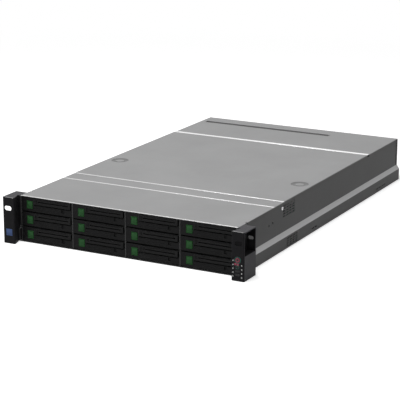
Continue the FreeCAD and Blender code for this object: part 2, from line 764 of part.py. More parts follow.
def drive_backplane():
    """The board behind the drives, with an air window and a socket for each of them."""
    body = new_body("drive_backplane")
    face = sketch_on(body, "backplane_outline", "XZ_Plane", "-cage_end")
    draw(face, [box_corners((f"-{INSIDE} + backplane_edge", f"{INSIDE} - backplane_edge"),
                            ("wall", "wall_top - backplane_edge"))])
    pad(body, "backplane_board", face, "board_sheet", "+Y")
    windows = []
    sockets = []
    for column in range(COLUMNS):
        middle = f"(bay_pitch * {column - (COLUMNS - 1) / 2})"
        for row in range(ROWS):
            low = f"(wall + row_pitch * {row})"
            windows.append(box_corners((f"{middle} - air_in", f"{middle} - air_in + air_wide"),
                                       (f"{low} + air_up", f"{low} + air_up + air_tall")))
            sockets.append(box_corners((f"{middle} - socket_in - socket_wide", f"{middle} - socket_in"),
                                       (f"{low} + socket_up", f"{low} + socket_up + socket_tall")))
    openings = sketch_on(body, "backplane_windows", "XZ_Plane", "-cage_end + 1")
    draw(openings, windows)
    pocket(body, "air_windows", openings, "board_sheet + 2", "+Y")
    plugs = sketch_on(body, "backplane_sockets", "XZ_Plane", "-cage_end")
    draw(plugs, sockets)
    pad(body, "drive_sockets", plugs, "socket_depth", "-Y")
    return body


def carrier_form():
    """One carrier as it stands in a bay: bezel with side rails, and its disk.

    The bay's frame has X = 0 in the middle of the column and Z = 0 at the bottom of the row.
    """
    body = new_body("bezel_form")
    face = sketch_on(body, "bezel_face", "XZ_Plane", "face_setback")
    draw(face, [box_corners((BEZEL_LEFT, BEZEL_RIGHT), (BEZEL_LOW, BEZEL_HIGH))])
    pad(body, "bezel_block", face, "bezel_depth", "+Y")

    rails = sketch_on(body, "rail_section", "XZ_Plane", "face_setback - bezel_depth")
    seat = "(rail_sheet + slide_gap)"
    right = box_corners(("disk_width / 2", f"{BAY_WIDTH} / 2 - side_rail_gap"),
                        (seat, f"{seat} + side_rail_height"))
    draw(rails, [right, mirrored(right)])
    pad(body, "side_rails", rails, "face_setback - bezel_depth - disk_back + disk_length", "+Y")

    pockets = sketch_on(body, "front_pockets", "XZ_Plane", "face_setback + 1")
    draw(pockets, [
        box_corners((f"{TOUCH_X} - touch_gap", f"{TOUCH_X} + touch_width + touch_gap"),
                    (f"{TOUCH_Z} - touch_height / 2 - touch_gap",
                     f"{TOUCH_Z} + touch_height / 2 + touch_gap")),
        box_corners((LEVER_START, f"{BEZEL_RIGHT} - lever_bed_edge"),
                    (f"{LEVER_LOW} - lever_gap", f"{LEVER_TOP} + lever_gap")),
    ])
    pocket(body, "button_and_lever_beds", pockets, "1 + lever_bed", "+Y")

    slots = []
    for row in range(3):
        low = f"({BEZEL_LOW} + 2 + {row} * (bezel_slot + bezel_rib))"
        high = f"{low} + bezel_slot"
        slots.append(box_corners((f"{LEVER_START} + 1", "bezel_mullion - 1"), (low, high)))
        slots.append(box_corners(("bezel_mullion + 1", f"{BEZEL_RIGHT} - 2.5"), (low, high)))
    vents = sketch_on(body, "vent_slots", "XZ_Plane", "face_setback + 1")
    draw(vents, slots)
    pocket(body, "vents", vents, "1 + bezel_vent_depth", "+Y")

    pin = sketch_on(body, "pin_circle", "XY_Plane", f"{LEVER_LOW} - lever_gap")
    draw_circles(pin, [(PIVOT_X, PIVOT_Y, "pin_radius")])
    pad(body, "lever_pin", pin, "lever_height + 2 * lever_gap", "+Z")

    disk = block("disk_form", ("-disk_width / 2", "disk_width / 2"),
                 ("-disk_back", "disk_length - disk_back"), (seat, f"{seat} + disk_height"))
    return [body, disk]


def lever_form():
    """The eject lever: a bar bored for its pin, with grip grooves and a shallow channel."""
    body = new_body("lever_form")
    front = f"({PIVOT_Y} - lever_thick / 2)"
    back = f"({PIVOT_Y} + lever_thick / 2)"
    free_end = f"({LEVER_START} + lever_gap)"
    plan = sketch_on(body, "lever_plan", "XY_Plane", LEVER_LOW)
    draw(plan, [[
        (free_end, front),
        (f"{PIVOT_X} + lever_heel - lever_bevel", front),
        (f"{PIVOT_X} + lever_heel", f"{front} + lever_bevel"),
        (f"{PIVOT_X} + lever_heel", f"{back} - lever_bevel"),
        (f"{PIVOT_X} + lever_heel - lever_bevel", back),
        (free_end, back),
    ]])
    pad(body, "lever_bar", plan, "lever_height", "+Z")

    bore = sketch_on(body, "lever_bore_circle", "XY_Plane", f"{LEVER_LOW} - 1")
    draw_circles(bore, [(PIVOT_X, PIVOT_Y, "pin_radius + pin_gap")])
    pocket(body, "lever_bore", bore, "lever_height + 2", "+Z")

    hollows = sketch_on(body, "lever_hollows", "XZ_Plane", f"-({front}) + 1")
    loops = []
    for i in range(1, 3):
        start = f"({free_end} + {i} * lever_groove_pitch)"
        loops.append(box_corners((start, f"{start} + lever_groove"),
                                 (f"{LEVER_LOW} + lever_groove", f"{LEVER_TOP} - lever_groove")))
    loops.append(box_corners((f"{free_end} + lever_channel_in", f"{PIVOT_X} - lever_channel_end"),
                             (f"{LEVER_LOW} + lever_groove", f"{LEVER_TOP} - 2 * lever_groove")))
    draw(hollows, loops)
    pocket(body, "lever_grip", hollows, "1 + lever_groove_depth", "+Y")
    return body


def touch_form():
    """The release button of a carrier, proud of the bezel."""
    body = new_body("touch_form")
    face = sketch_on(body, "touch_face", "XZ_Plane", "face_setback + touch_proud")
    draw(face, [box_corners((TOUCH_X, f"{TOUCH_X} + touch_width"),
                            (f"{TOUCH_Z} - touch_height / 2", f"{TOUCH_Z} + touch_height / 2"))])
    pad(body, "touch_block", face, "touch_depth + touch_proud", "+Y")
    return body


def bays():
    """The twelve carriers, levers and buttons: one form each, placed bay by bay."""
    forms = {
        "carrier": carrier_form(),
        "eject_lever": [lever_form()],
        "release_button": [touch_form()],
    }
    nodes = []
    for row in range(ROWS):
        for column in range(COLUMNS):
            number = row * COLUMNS + column + 1
            for name, form in forms.items():
                node = grouped(f"{name}_{number:02d}", form)
                place(node, f"bay_pitch * {column - (COLUMNS - 1) / 2}", "0",
                      f"wall + row_pitch * {ROWS - 1 - row}")
                nodes.append(node)
    return nodes


# ---------------------------------------------------------------------------
# Fans
# ---------------------------------------------------------------------------
def fan_centre(i):
    return f"(fan_pitch * {i - (FANS - 1) / 2})"


def fan_frames():
    """Four square frames with a round duct, a motor seat, its struts and a fixed shaft."""
    frames = []
    seat_deep = (FAN_SEAT, "fan_start + fan_depth")
    reach = "(fan_size / 2 - strut_deep / 2)"
    for i in range(FANS):
        middle = fan_centre(i)
        low = f"({FAN_AXIS_Z} - fan_size / 2)"
        shell = block(f"fan_shell_{i}", (f"{middle} - fan_size / 2", f"{middle} + fan_size / 2"),
                      ("fan_start", "fan_start + fan_depth"), (low, f"{low} + fan_size"))
        duct = rod(f"fan_duct_{i}", "duct_radius", "fan_depth + 2",
                   middle, "fan_start - 1", FAN_AXIS_Z, "Y")
        ring = carved(f"fan_ring_{i}", shell, [duct])
        seat = block(f"motor_seat_{i}", (f"{middle} - motor_seat / 2", f"{middle} + motor_seat / 2"),
                     seat_deep, (f"{FAN_AXIS_Z} - motor_seat / 2", f"{FAN_AXIS_Z} + motor_seat / 2"))
        shaft = rod(f"fan_shaft_{i}", "shaft_radius", "shaft_length",
                    middle, f"{FAN_SEAT} - shaft_length", FAN_AXIS_Z, "Y")
        level = block(f"strut_level_{i}", (f"{middle} - {reach}", f"{middle} + {reach}"), seat_deep,
                      (f"{FAN_AXIS_Z} - strut_wide / 2", f"{FAN_AXIS_Z} + strut_wide / 2"))
        upright = block(f"strut_upright_{i}",
                        (f"{middle} - strut_wide / 2", f"{middle} + strut_wide / 2"), seat_deep,
                        (f"{FAN_AXIS_Z} - {reach}", f"{FAN_AXIS_Z} + {reach}"))
        foot = block(f"fan_foot_{i}",
                     (f"{middle} - fan_size / 2 - fan_foot_reach",
                      f"{middle} + fan_size / 2 + fan_foot_reach"),
                     ("fan_start + fan_foot_in", "fan_start + fan_depth - fan_foot_in"),
                     ("wall", "wall + fan_foot_tall"))
        frames.append(joined(f"fan_frame_{i}", [ring, seat, shaft, level, upright, foot]))
    return grouped("fan_frames", frames)


def rotor_form():
    """A fan rotor about its own Y axis: a bored hub and a ring of slanted, bent blades."""
    body = new_body("rotor_form")
    nose = "(fan_start + hub_start)"
    back = f"({FAN_SEAT} - rotor_gap)"
    bore = "(shaft_radius + pin_gap)"
    cup = sketch_on(body, "hub_section", "YZ_Plane")
    draw(cup, [[
        (nose, "0"),
        (nose, "rotor_hub"),
        (back, "rotor_hub"),
        (back, bore),
        (f"{back} - shaft_length", bore),
        (f"{back} - shaft_length", "0"),
    ]])
    hub = body.newObject("PartDesign::Revolution", "hub")
    hub.Profile = cup
    axis = origin_axis(body, "Y_Axis")
    hub.ReferenceAxis = (axis, [""])
    hub.Angle = 360

    middle = f"(({nose} + {back}) / 2)"
    run = f"{math.cos(math.radians(BLADE_SLOPE)):.5f}"
    rise = f"{math.sin(math.radians(BLADE_SLOPE)):.5f}"
    root = "(rotor_hub - blade_sink)"
    section = sketch_on(body, "blade_section", "XY_Plane", root)
    points = []
    for along, out in (("-0.5", "0"), ("0", "2 * blade_share"), ("0.5", "0"), ("0", "blade_share")):
        points.append((f"blade_chord * ({along} * {run} - {rise} * {out})",
                       f"{middle} + blade_chord * ({along} * {rise} + {run} * {out})"))
    draw(section, [points])
    blade = pad(body, "blade", section, f"duct_radius - blade_tip_gap - {root}", "+Z")
    ring = body.newObject("PartDesign::PolarPattern", "blade_ring")
    ring.Originals = [blade]
    ring.Axis = (axis, [""])
    ring.Angle = 360
    ring.Occurrences = BLADES
    body.Tip = ring
    return body


def fan_rotors():
    form = rotor_form()
    nodes = []
    for i in range(FANS):
        node = grouped(f"fan_rotor_{i + 1}", [form])
        nodes.append(place(node, fan_centre(i), "0", FAN_AXIS_Z))
    return nodes


# ---------------------------------------------------------------------------
# The main board and what stands on it
# ---------------------------------------------------------------------------
SECOND_SLOTS = f"(-{INSIDE} + slot_in + slot_width + slot_between)"     # left edge of the second column

# Each rear port: left edge, width and height. The monitor's takes two steps.
PORTS = [
    (f"({SECOND_SLOTS} + 0 * port_step)", "lan_width", "lan_height"),
    (f"({SECOND_SLOTS} + 1 * port_step)", "lan_width", "lan_height"),
    (f"({SECOND_SLOTS} + 2 * port_step)", "usb_width", "usb_height"),
    (f"({SECOND_SLOTS} + 3 * port_step)", "usb_width", "usb_height"),
    (f"({SECOND_SLOTS} + 4 * port_step)", "vga_width", "vga_height"),
    (f"({SECOND_SLOTS} + 6 * port_step)", "lan_width", "lan_height"),
]


def cpu_sides():
    return [("processor_left", "-cpu_out"), ("processor_right", "cpu_out")]


def dimm_places():
    """Left edges of the memory sockets, on both sides of each processor."""
    places = []
    for _, middle in cpu_sides():
        for i in range(DIMMS_PER_SIDE):
            step = f"(sink_width / 2 + dimm_gap + {i} * dimm_pitch)"
            places.append(f"({middle} - {step} - dimm_wide)")
            places.append(f"({middle} + {step})")
    return places


def motherboard():
    """L-shaped board with processor and memory sockets, standoffs and the rear ports."""
    body = new_body("board_form")
    sheet = sketch_on(body, "board_outline", "XY_Plane", PCB_LOW)
    draw(sheet, [[
        ("-pcb_width / 2", "pcb_start"),
        ("pcb_width / 2", "pcb_start"),
        ("pcb_width / 2", "pcb_notch_y"),
        ("pcb_notch_x", "pcb_notch_y"),
        ("pcb_notch_x", f"{REAR} - wall - 2"),
        ("-pcb_width / 2", f"{REAR} - wall - 2"),
    ]])
    pad(body, "board_sheet_pad", sheet, "pcb_sheet", "+Z")
    sockets = [box_corners((f"{middle} - cpu_socket / 2", f"{middle} + cpu_socket / 2"),
                           ("cpu_back - cpu_socket / 2", "cpu_back + cpu_socket / 2"))
               for _, middle in cpu_sides()]
    sockets += [box_corners((left, f"{left} + dimm_wide"),
                            ("cpu_back - dimm_length / 2", "cpu_back + dimm_length / 2"))
                for left in dimm_places()]
    plan = sketch_on(body, "socket_outlines", "XY_Plane", PCB_TOP)
    draw(plan, sockets)
    pad(body, "sockets", plan, "cpu_socket_tall", "+Z")
    feet = [box_corners((f"{x} - standoff / 2", f"{x} + standoff / 2"),
                        (f"{y} - standoff / 2", f"{y} + standoff / 2"))
            for x in ("-pcb_width / 2 + pcb_edge", "0", "pcb_notch_x - pcb_edge")
            for y in ("pcb_start + pcb_edge", "pcb_notch_y - pcb_edge",
                      f"{REAR} - port_depth - pcb_edge")]
    floor = sketch_on(body, "standoff_outlines", "XY_Plane", "wall")
    draw(floor, feet)
    pad(body, "standoffs", floor, "pcb_gap", "+Z")
    return grouped("motherboard", [body] + port_shells())


def port_shells():
    """The rear ports: a shell on the board for each, open to the back."""
    shells = []
    for i, (x0, width, height) in enumerate(PORTS):
        outer = block(f"port_block_{i}", (x0, f"{x0} + {width}"),
                      (f"{REAR} - port_depth", f"{REAR} + port_proud"),
                      (PCB_TOP, f"{PORT_LOW} + {height}"))
        mouth = block(f"port_mouth_{i}", (f"{x0} + port_wall", f"{x0} + {width} - port_wall"),
                      (f"{REAR} - port_depth + port_back", f"{REAR} + 2"),
                      (f"{PORT_LOW} + port_wall / 2", f"{PORT_LOW} + {height} - port_wall"))
        shells.append(carved(f"port_shell_{i}", outer, [mouth]))
    return shells


def heatsinks():
    """Two finned heat sinks, each on its processor socket."""
    body = new_body("sink_form")
    base = sketch_on(body, "sink_base_outline", "XY_Plane", f"{PCB_TOP} + cpu_socket_tall")
    draw(base, [box_corners(("-sink_width / 2", "sink_width / 2"),
                            ("-sink_length / 2", "sink_length / 2"))])
    pad(body, "sink_base_pad", base, "sink_base", "+Z")
    fin = sketch_on(body, "fin_outline", "XY_Plane", f"{PCB_TOP} + cpu_socket_tall + sink_base")
    draw(fin, [box_corners(("-sink_width / 2", "-sink_width / 2 + fin_sheet"),
                           ("-sink_length / 2", "sink_length / 2"))])
    first = pad(body, "fin", fin, "sink_height - sink_base", "+Z")
    room = SIZES["sink_width"] - SIZES["fin_sheet"]
    repeat(body, "fins", first, "X_Axis", int(room / SIZES["fin_pitch"]) + 1, "fin_pitch")
    sinks = []
    for name, middle in cpu_sides():
        sinks.append(place(grouped(name, [body]), middle, "cpu_back"))
    return grouped("heatsinks", sinks)


def memory_modules():
    """One module standing in each memory socket."""
    modules = []
    low = f"({PCB_TOP} + cpu_socket_tall)"
    for i, left in enumerate(dimm_places()):
        middle = f"({left} + dimm_wide / 2)"
        modules.append(block(f"module_{i}",
                             (f"{middle} - module_sheet / 2", f"{middle} + module_sheet / 2"),
                             ("cpu_back - module_length / 2", "cpu_back + module_length / 2"),
                             (low, f"{low} + module_height")))
    return grouped("memory_modules", modules)


# ---------------------------------------------------------------------------
# The rear wall's pieces
# ---------------------------------------------------------------------------
def slot_corners():
    """Lower left corners of the expansion slots: three at the left, two over the ports."""
    return [(f"(-{INSIDE} + slot_in + {column} * (slot_width + slot_between))",
             f"(slot_bottom + {row} * slot_pitch)")
            for column in range(SLOT_COLUMNS) for row in range(column, SLOT_ROWS)]


def slot_covers():
    """A blank in each expansion slot, with its inner lip and air slots."""
    covers = []
    for i, (x0, z0) in enumerate(slot_corners()):
        plate = block(f"blank_plate_{i}",
                      (f"{x0} + slot_gap", f"{x0} + slot_width - slot_gap"),
                      (f"{REAR} - wall", f"{REAR} - wall + blank_sheet"),
                      (f"{z0} + slot_gap", f"{z0} + slot_height - slot_gap"))
        lip = block(f"blank_lip_{i}",
                    (f"{x0} - blank_lip", f"{x0} + slot_width + blank_lip"),
                    (f"{REAR} - wall - blank_sheet", f"{REAR} - wall"),
                    (f"{z0} - blank_rise", f"{z0} + slot_height + blank_rise"))
        air = []
        for n in range(BLANK_AIR):
            left = f"({x0} + blank_air_in + {n} * blank_air_step)"
            air.append(block(f"blank_air_{i}_{n}", (left, f"{left} + blank_air_step - blank_air_gap"),
                             (f"{REAR} - wall - blank_sheet - 1", f"{REAR} + 1"),
                             (f"{z0} + (slot_height - blank_air_tall) / 2",
                              f"{z0} + (slot_height + blank_air_tall) / 2")))
        covers.append(carved(f"blank_{i}", joined(f"blank_body_{i}", [plate, lip]), air))
    return grouped("slot_covers", covers)


GRILLE_X = "(-psu_width + grille_edge + grille_radius)"
HANDLE_LEFT = f"({GRILLE_X} - handle_gap / 2 - handle_bar)"
LATCH_LEFT = "(-latch_edge - latch_sheet)"
LATCH_LOW = "(psu_height - latch_tall - latch_down)"
INLET_X = "(-inlet_in - inlet_width / 2)"
INLET_Z = "(psu_height / 2 - inlet_down)"


def psu_guard():
    """The grille over a power supply's fan: upright bars on one level bar."""
    middle = "psu_height / 2"
    reach = "(grille_radius + guard_wire / 2)"
    bars = [block("guard_level", (f"{GRILLE_X} - {reach}", f"{GRILLE_X} + {reach}"),
                  (f"{FLANGE} - guard_back", f"{FLANGE} - guard_back / 2"),
                  (f"{middle} - guard_wire / 2", f"{middle} + guard_wire / 2"))]
    for i in range(-GUARD_BARS, GUARD_BARS + 1):
        across = f"({GRILLE_X} + {i} * guard_pitch)"
        tall = f"(sqrt(pow(grille_radius; 2) - pow({i} * guard_pitch; 2)) + guard_wire / 2)"
        bars.append(block(f"guard_bar_{i + GUARD_BARS}",
                          (f"{across} - guard_wire / 2", f"{across} + guard_wire / 2"),
                          (f"{FLANGE} - guard_back", f"{FLANGE} - guard_back / 2"),
                          (f"{middle} - {tall}", f"{middle} + {tall}")))
    return bars


def psu_handle():
    """The loop that pulls a power supply out."""
    tall = ("(psu_height - handle_tall) / 2", "(psu_height + handle_tall) / 2")
    outer = block("handle_outer", (HANDLE_LEFT, f"{HANDLE_LEFT} + handle_gap + 2 * handle_bar"),
                  (f"{FLANGE} - guard_back / 2", f"{FLANGE} + handle_reach"), tall)
    gap = block("handle_hollow",
                (f"{HANDLE_LEFT} + handle_bar", f"{HANDLE_LEFT} + handle_bar + handle_gap"),
                (f"{FLANGE} - guard_back", f"{FLANGE} + handle_reach - handle_bar"),
                (f"{tall[0]} - 1", f"{tall[1]} + 1"))
    return carved("handle", outer, [gap])


def psu_contacts():
    """The three blades in the mains inlet."""
    blades = []
    for i, (side, up) in enumerate(((0, 1), (-1, -1), (1, -1))):
        middle = f"({INLET_X} + {side} * contact_side)"
        level = f"({INLET_Z} + {up} * contact_offset)"
        blades.append(block(f"inlet_blade_{i}", (f"{middle} - contact_half", f"{middle} + contact_half"),
                            (f"{FLANGE} - inlet_depth - 1", f"{FLANGE} - contact_back"),
                            (f"{level} - 2 * contact_half", f"{level} + 2 * contact_half")))
    return blades


def psu_form():
    """A power supply in its own frame: X = 0 at its right edge, Z = 0 at its underside."""
    case = block("psu_case", ("-psu_width", "0"), (f"{REAR} - psu_length", FLANGE),
                 ("0", "psu_height"))
    inlet = block("psu_inlet", (f"{INLET_X} - inlet_width / 2", f"{INLET_X} + inlet_width / 2"),
                  (f"{FLANGE} - inlet_depth", f"{FLANGE} + 1"),
                  (f"{INLET_Z} - inlet_height / 2", f"{INLET_Z} + inlet_height / 2"))
    channel = block("latch_channel",
                    (f"{LATCH_LEFT} - latch_travel - latch_gap",
                     f"{LATCH_LEFT} + latch_sheet + latch_gap"),
                    (f"{FLANGE} - latch_bed", f"{FLANGE} + 1"),
                    (f"{LATCH_LOW} - latch_gap", f"{LATCH_LOW} + latch_tall + latch_gap"))
    bore = rod("grille_bore", "grille_radius", "grille_depth + 1",
               GRILLE_X, f"{FLANGE} - grille_depth", "psu_height / 2", "Y")
    shell = carved("psu_shell", case, [inlet, channel, bore])
    return joined("psu_form", [shell, psu_handle()] + psu_guard() + psu_contacts())


def latch_form():
    """The release tab of a power supply, in the supply's frame."""
    tab = block("latch_tab", (LATCH_LEFT, f"{LATCH_LEFT} + latch_sheet"),
                (f"{FLANGE} - latch_bed + 1", f"{FLANGE} + latch_reach"),
                (LATCH_LOW, f"{LATCH_LOW} + latch_tall"))
    side = f"({LATCH_LEFT} + latch_sheet)"
    grip = []
    for i in range(3):
        start = f"({FLANGE} + latch_reach - {i + 1} * latch_groove_pitch)"
        grip.append(block(f"latch_groove_{i}", (f"{side} - latch_groove_depth", f"{side} + 1"),
                          (start, f"{start} + latch_groove"),
                          (f"{LATCH_LOW} - 1", f"{LATCH_LOW} + latch_tall + 1")))
    return carved("latch_form", tab, grip)


def power_supplies():
    supply = psu_form()
    latch = latch_form()
    nodes = []
    for i, low in enumerate(PSU_LOW, start=1):
        nodes.append(place(grouped(f"psu_{i}", [supply]), PSU_RIGHT, "0", low))
        nodes.append(place(grouped(f"psu_latch_{i}", [latch]), PSU_RIGHT, "0", low))
    return nodes


# ---------------------------------------------------------------------------
# The rack ears and the front panel
# ---------------------------------------------------------------------------
def rack_ear(name, side):
    """A rack ear: closed lower half, upper half open to the side, slotted flange at the back."""
    def loop(corners):
        return corners if side > 0 else mirrored(corners)

    body = new_body(name + "_body")
    plan = sketch_on(body, name + "_plan", "XY_Plane")
    draw(plan, [loop([
        ("ear_inner", "-ear_reach"),
        ("rack_width / 2", "-ear_reach"),
        ("rack_width / 2", "0"),
        ("deck_width / 2", "0"),
        ("deck_width / 2", FRONT),
        ("base_width / 2", FRONT),
    ])])
    whole = pad(body, name + "_block", plan, "case_height - cover_raise", "+Z")
    front = -SIZES["ear_reach"]
    rounded(body, name + "_edges", whole, "ear_round", Vector(0, 0, 1),
            lambda point: abs(point.y - front) < 0.01)

    shoulder = sketch_on(body, name + "_shoulder", "XZ_Plane", "face_setback")
    draw(shoulder, [loop([
        ("ear_inner", "-1"),
        ("base_width / 2", "-1"),
        ("base_width / 2", "ledge_low"),
        ("deck_width / 2", "ledge_high"),
        ("ear_inner", "ledge_high"),
    ])])
    pocket(body, name + "_seat", shoulder, "face_setback + 1", "+Y")

    cavity = sketch_on(body, name + "_cavity", "XY_Plane", "ear_split")
    draw(cavity, [loop([
        ("ear_inner + ear_skin", "-ear_reach + ear_skin"),
        ("rack_width / 2 + 5", "-ear_reach + ear_skin"),
        ("rack_width / 2 + 5", "-ear_skin"),
        ("base_width / 2 + ear_skin", "-ear_skin"),
        ("base_width / 2 + ear_skin", FRONT),
    ])])
    pocket(body, name + "_hollow", cavity, f"{DECK} - ear_skin - ear_split", "+Z")
    return body


def slot_tool(name, side, out, up, long, tall, y0, y1):
    """The tool of a slot with round ends that runs along X."""
    middle = out if side > 0 else f"-({out})"
    reach = f"({long} - {tall}) / 2"
    return joined(name, [
        rod(name + "_a", f"{tall} / 2", f"({y1}) - ({y0})", f"{middle} - {reach}", y0, up, "Y"),
        rod(name + "_b", f"{tall} / 2", f"({y1}) - ({y0})", f"{middle} + {reach}", y0, up, "Y"),
        block(name + "_c", (f"{middle} - {reach}", f"{middle} + {reach}"), (y0, y1),
              (f"{up} - {tall} / 2", f"{up} + {tall} / 2")),
    ])


PANEL_X = "((ear_inner + rack_width / 2) / 2)"
KNOBS = [("power_button", "power_up", "power_radius"), ("id_button", "ident_up", "ident_radius")]


def panel_tools():
    """The recess of the control panel and the bores of its buttons."""
    tools = [block("panel_field", ("ear_inner + panel_edge", "rack_width / 2 - panel_edge"),
                   ("-ear_reach - 1", "-ear_reach + panel_inset"),
                   ("panel_edge", "ear_split - panel_edge / 2"))]
    for knob, up, radius in KNOBS:
        tools.append(rod(knob + "_bore", f"{radius} + knob_gap", "knob_depth + knob_travel + 2",
                         PANEL_X, "-ear_reach - 1", up, "Y"))
    return tools


def label_tool():
    """The recess of the left ear's blank label field."""
    return block("label_field", (f"-{PANEL_X} - label_size / 2", f"-{PANEL_X} + label_size / 2"),
                 ("-ear_reach - 1", "-ear_reach + panel_inset"),
                 ("label_up - label_size / 2", "label_up + label_size / 2"))


def ears():
    """Both ears with their slots; the left one has a label field, the right one the panel."""
    nodes = []
    for name, side, field in (("left_ear", -1, [label_tool()]), ("right_ear", 1, panel_tools())):
        blank = rack_ear(name, side)
        tools = [
            slot_tool(name + "_rack_slot", side, "rack_slot_out", "rack_slot_up",
                      "rack_slot_long", "rack_slot_tall", "-ear_skin - 1", "1"),
            slot_tool(name + "_access", side, "access_out", "rack_slot_up",
                      "access_long", "access_tall", "-ear_reach - 1", "-ear_reach + ear_skin + 1"),
        ]
        nodes.append(carved(name, blank, tools + field))
    return nodes


def knobs():
    """The two round buttons of the control panel, each with a flat hollow in its face."""
    nodes = []
    for name, up, radius in KNOBS:
        cylinder = rod(name + "_stem", radius, "knob_depth", PANEL_X, "-ear_reach", up, "Y")
        dish = rod(name + "_dish", f"{radius} * 0.6", "1 + knob_dish", PANEL_X, "-ear_reach - 1", up, "Y")
        nodes.append(carved(name, cylinder, [dish]))
    return nodes


def screws():
    """Screws of the side walls and of the rear cover."""
    pieces = []
    for name, start in (("left", "-deck_width / 2 - screw_head"), ("right", "deck_width / 2")):
        pieces.append(rod(f"side_screw_{name}", "screw_radius", "screw_head",
                          start, "side_screw_back", "wall_top - side_screw_down", "X"))
    for name, across in (("left", f"-{INSIDE} + rear_screw_in"),
                         ("right", f"{PSU_LEFT} - psu_gap - rear_screw_side")):
        pieces.append(rod(f"rear_screw_{name}", "screw_radius", "screw_head",
                          across, REAR, "wall_top - rear_screw_down", "Y"))
    return grouped("screws", pieces)


# ---------------------------------------------------------------------------
# Building, checking and writing
# ---------------------------------------------------------------------------
def check(nodes):
    """Stops if any object failed, any cut removed nothing, or any node has no valid shape."""
    for item in doc.Objects:
        if "Invalid" in item.State or "Error" in item.State:
            raise RuntimeError(f"{item.Name} failed: {item.State}")
        if item.TypeId == "PartDesign::Pocket" and item.Shape.Volume > item.BaseFeature.Shape.Volume - 0.01:
            raise RuntimeError(f"{item.Name} cuts nothing")
    for node in nodes:
        if node.Shape.isNull() or not node.Shape.isValid() or not node.Shape.Solids:
            raise RuntimeError(f"{node.Label} has no valid solid")


def main():
    make_sheet()
    doc.recompute()
    nodes = [
        chassis_tray(),
        front_cover(),
        main_cover(),
        rear_cover(),
        drive_cage(),
        drive_backplane(),
        fan_frames(),
        motherboard(),
        heatsinks(),
        memory_modules(),
        slot_covers(),
        screws(),
    ]
    nodes += ears()
    nodes += knobs()
    nodes += fan_rotors()
    nodes += power_supplies()
    nodes += bays()
    doc.recompute()
    check(nodes)
    os.makedirs("parts", exist_ok=True)
    for node in nodes:
        node.Shape.exportStep(f"parts/{node.Label}.step")
        print(f"{node.Label}: {len(node.Shape.Solids)} solids, {node.Shape.Volume / 1000:.1f} cm3")
    print(len(nodes), "nodes")


main()
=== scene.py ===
# %% [markdown]
# # A two-unit rack server
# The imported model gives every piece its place, and this lesson gives each one its looks.
# We load the model first and keep its box, because nothing that is made here may grow
# out of it. All sizes below are in millimetres, and one factor turns them into Blender's metres.

import json
import math
import random

import bmesh
import bpy
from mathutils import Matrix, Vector


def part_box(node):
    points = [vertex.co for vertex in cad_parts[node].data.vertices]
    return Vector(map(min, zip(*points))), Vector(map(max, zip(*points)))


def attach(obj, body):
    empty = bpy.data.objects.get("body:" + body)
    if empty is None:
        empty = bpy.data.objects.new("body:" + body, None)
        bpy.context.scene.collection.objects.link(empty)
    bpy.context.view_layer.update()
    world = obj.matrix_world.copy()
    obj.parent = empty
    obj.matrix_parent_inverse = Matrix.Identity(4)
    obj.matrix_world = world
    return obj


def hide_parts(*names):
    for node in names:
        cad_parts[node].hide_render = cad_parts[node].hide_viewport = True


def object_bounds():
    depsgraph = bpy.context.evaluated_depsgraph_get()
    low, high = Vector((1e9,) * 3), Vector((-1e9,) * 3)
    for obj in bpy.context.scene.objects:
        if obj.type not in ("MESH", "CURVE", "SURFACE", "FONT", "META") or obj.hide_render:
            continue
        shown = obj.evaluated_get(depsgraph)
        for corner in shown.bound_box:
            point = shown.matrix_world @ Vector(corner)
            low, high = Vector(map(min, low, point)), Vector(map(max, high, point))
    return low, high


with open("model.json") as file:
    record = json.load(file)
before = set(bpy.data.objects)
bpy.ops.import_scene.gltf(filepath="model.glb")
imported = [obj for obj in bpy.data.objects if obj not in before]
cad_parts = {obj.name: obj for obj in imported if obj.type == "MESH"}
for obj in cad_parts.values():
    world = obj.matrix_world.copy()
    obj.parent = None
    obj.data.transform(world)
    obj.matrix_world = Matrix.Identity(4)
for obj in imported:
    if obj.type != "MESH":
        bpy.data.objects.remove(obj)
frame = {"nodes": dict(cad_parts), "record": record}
CAD_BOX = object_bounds()
MM = 0.001
NODES = frame["nodes"]


def span(node):
    """Lowest and highest corner of a CAD node, in millimetres."""
    low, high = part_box(node)
    return low / MM, high / MM


# %% [markdown]
# ## Camera
# Product pictures are taken from far away with a long lens, so that parallel edges stay
# nearly parallel. The camera stands at the front right and looks a little down, so that the
# front, the top and the right side all show.

# %% Camera
LENS_LENGTH = 141.1
CAMERA_PLACE = (1.33866, -2.26072, 0.82721)
LOOKS_DOWN = 15.49
TURNED_LEFT = 28.03
camera_data = bpy.data.cameras.new("camera")
camera_data.sensor_width = 36.0
camera_data.lens = LENS_LENGTH
camera_data.clip_end = 60.0
camera = bpy.data.objects.new("camera", camera_data)
bpy.context.scene.collection.objects.link(camera)
camera.location = CAMERA_PLACE
camera.rotation_euler = (math.radians(90 - LOOKS_DOWN), 0, math.radians(TURNED_LEFT))
bpy.context.scene.camera = camera
bpy.context.scene.view_settings.view_transform = "Standard"
print("camera", tuple(round(c, 3) for c in camera.location))

# %% [markdown]
# ## Shader maths as expressions
# A material is a graph of nodes, and long graphs are hard to read as code. This class holds
# one output socket, and Python's own operators add the Math nodes, so that a mask can be
# written as `1 - wear * 0.5`. Every other node comes from `Graph.add`, for the materials and
# for the studio's surround alike.


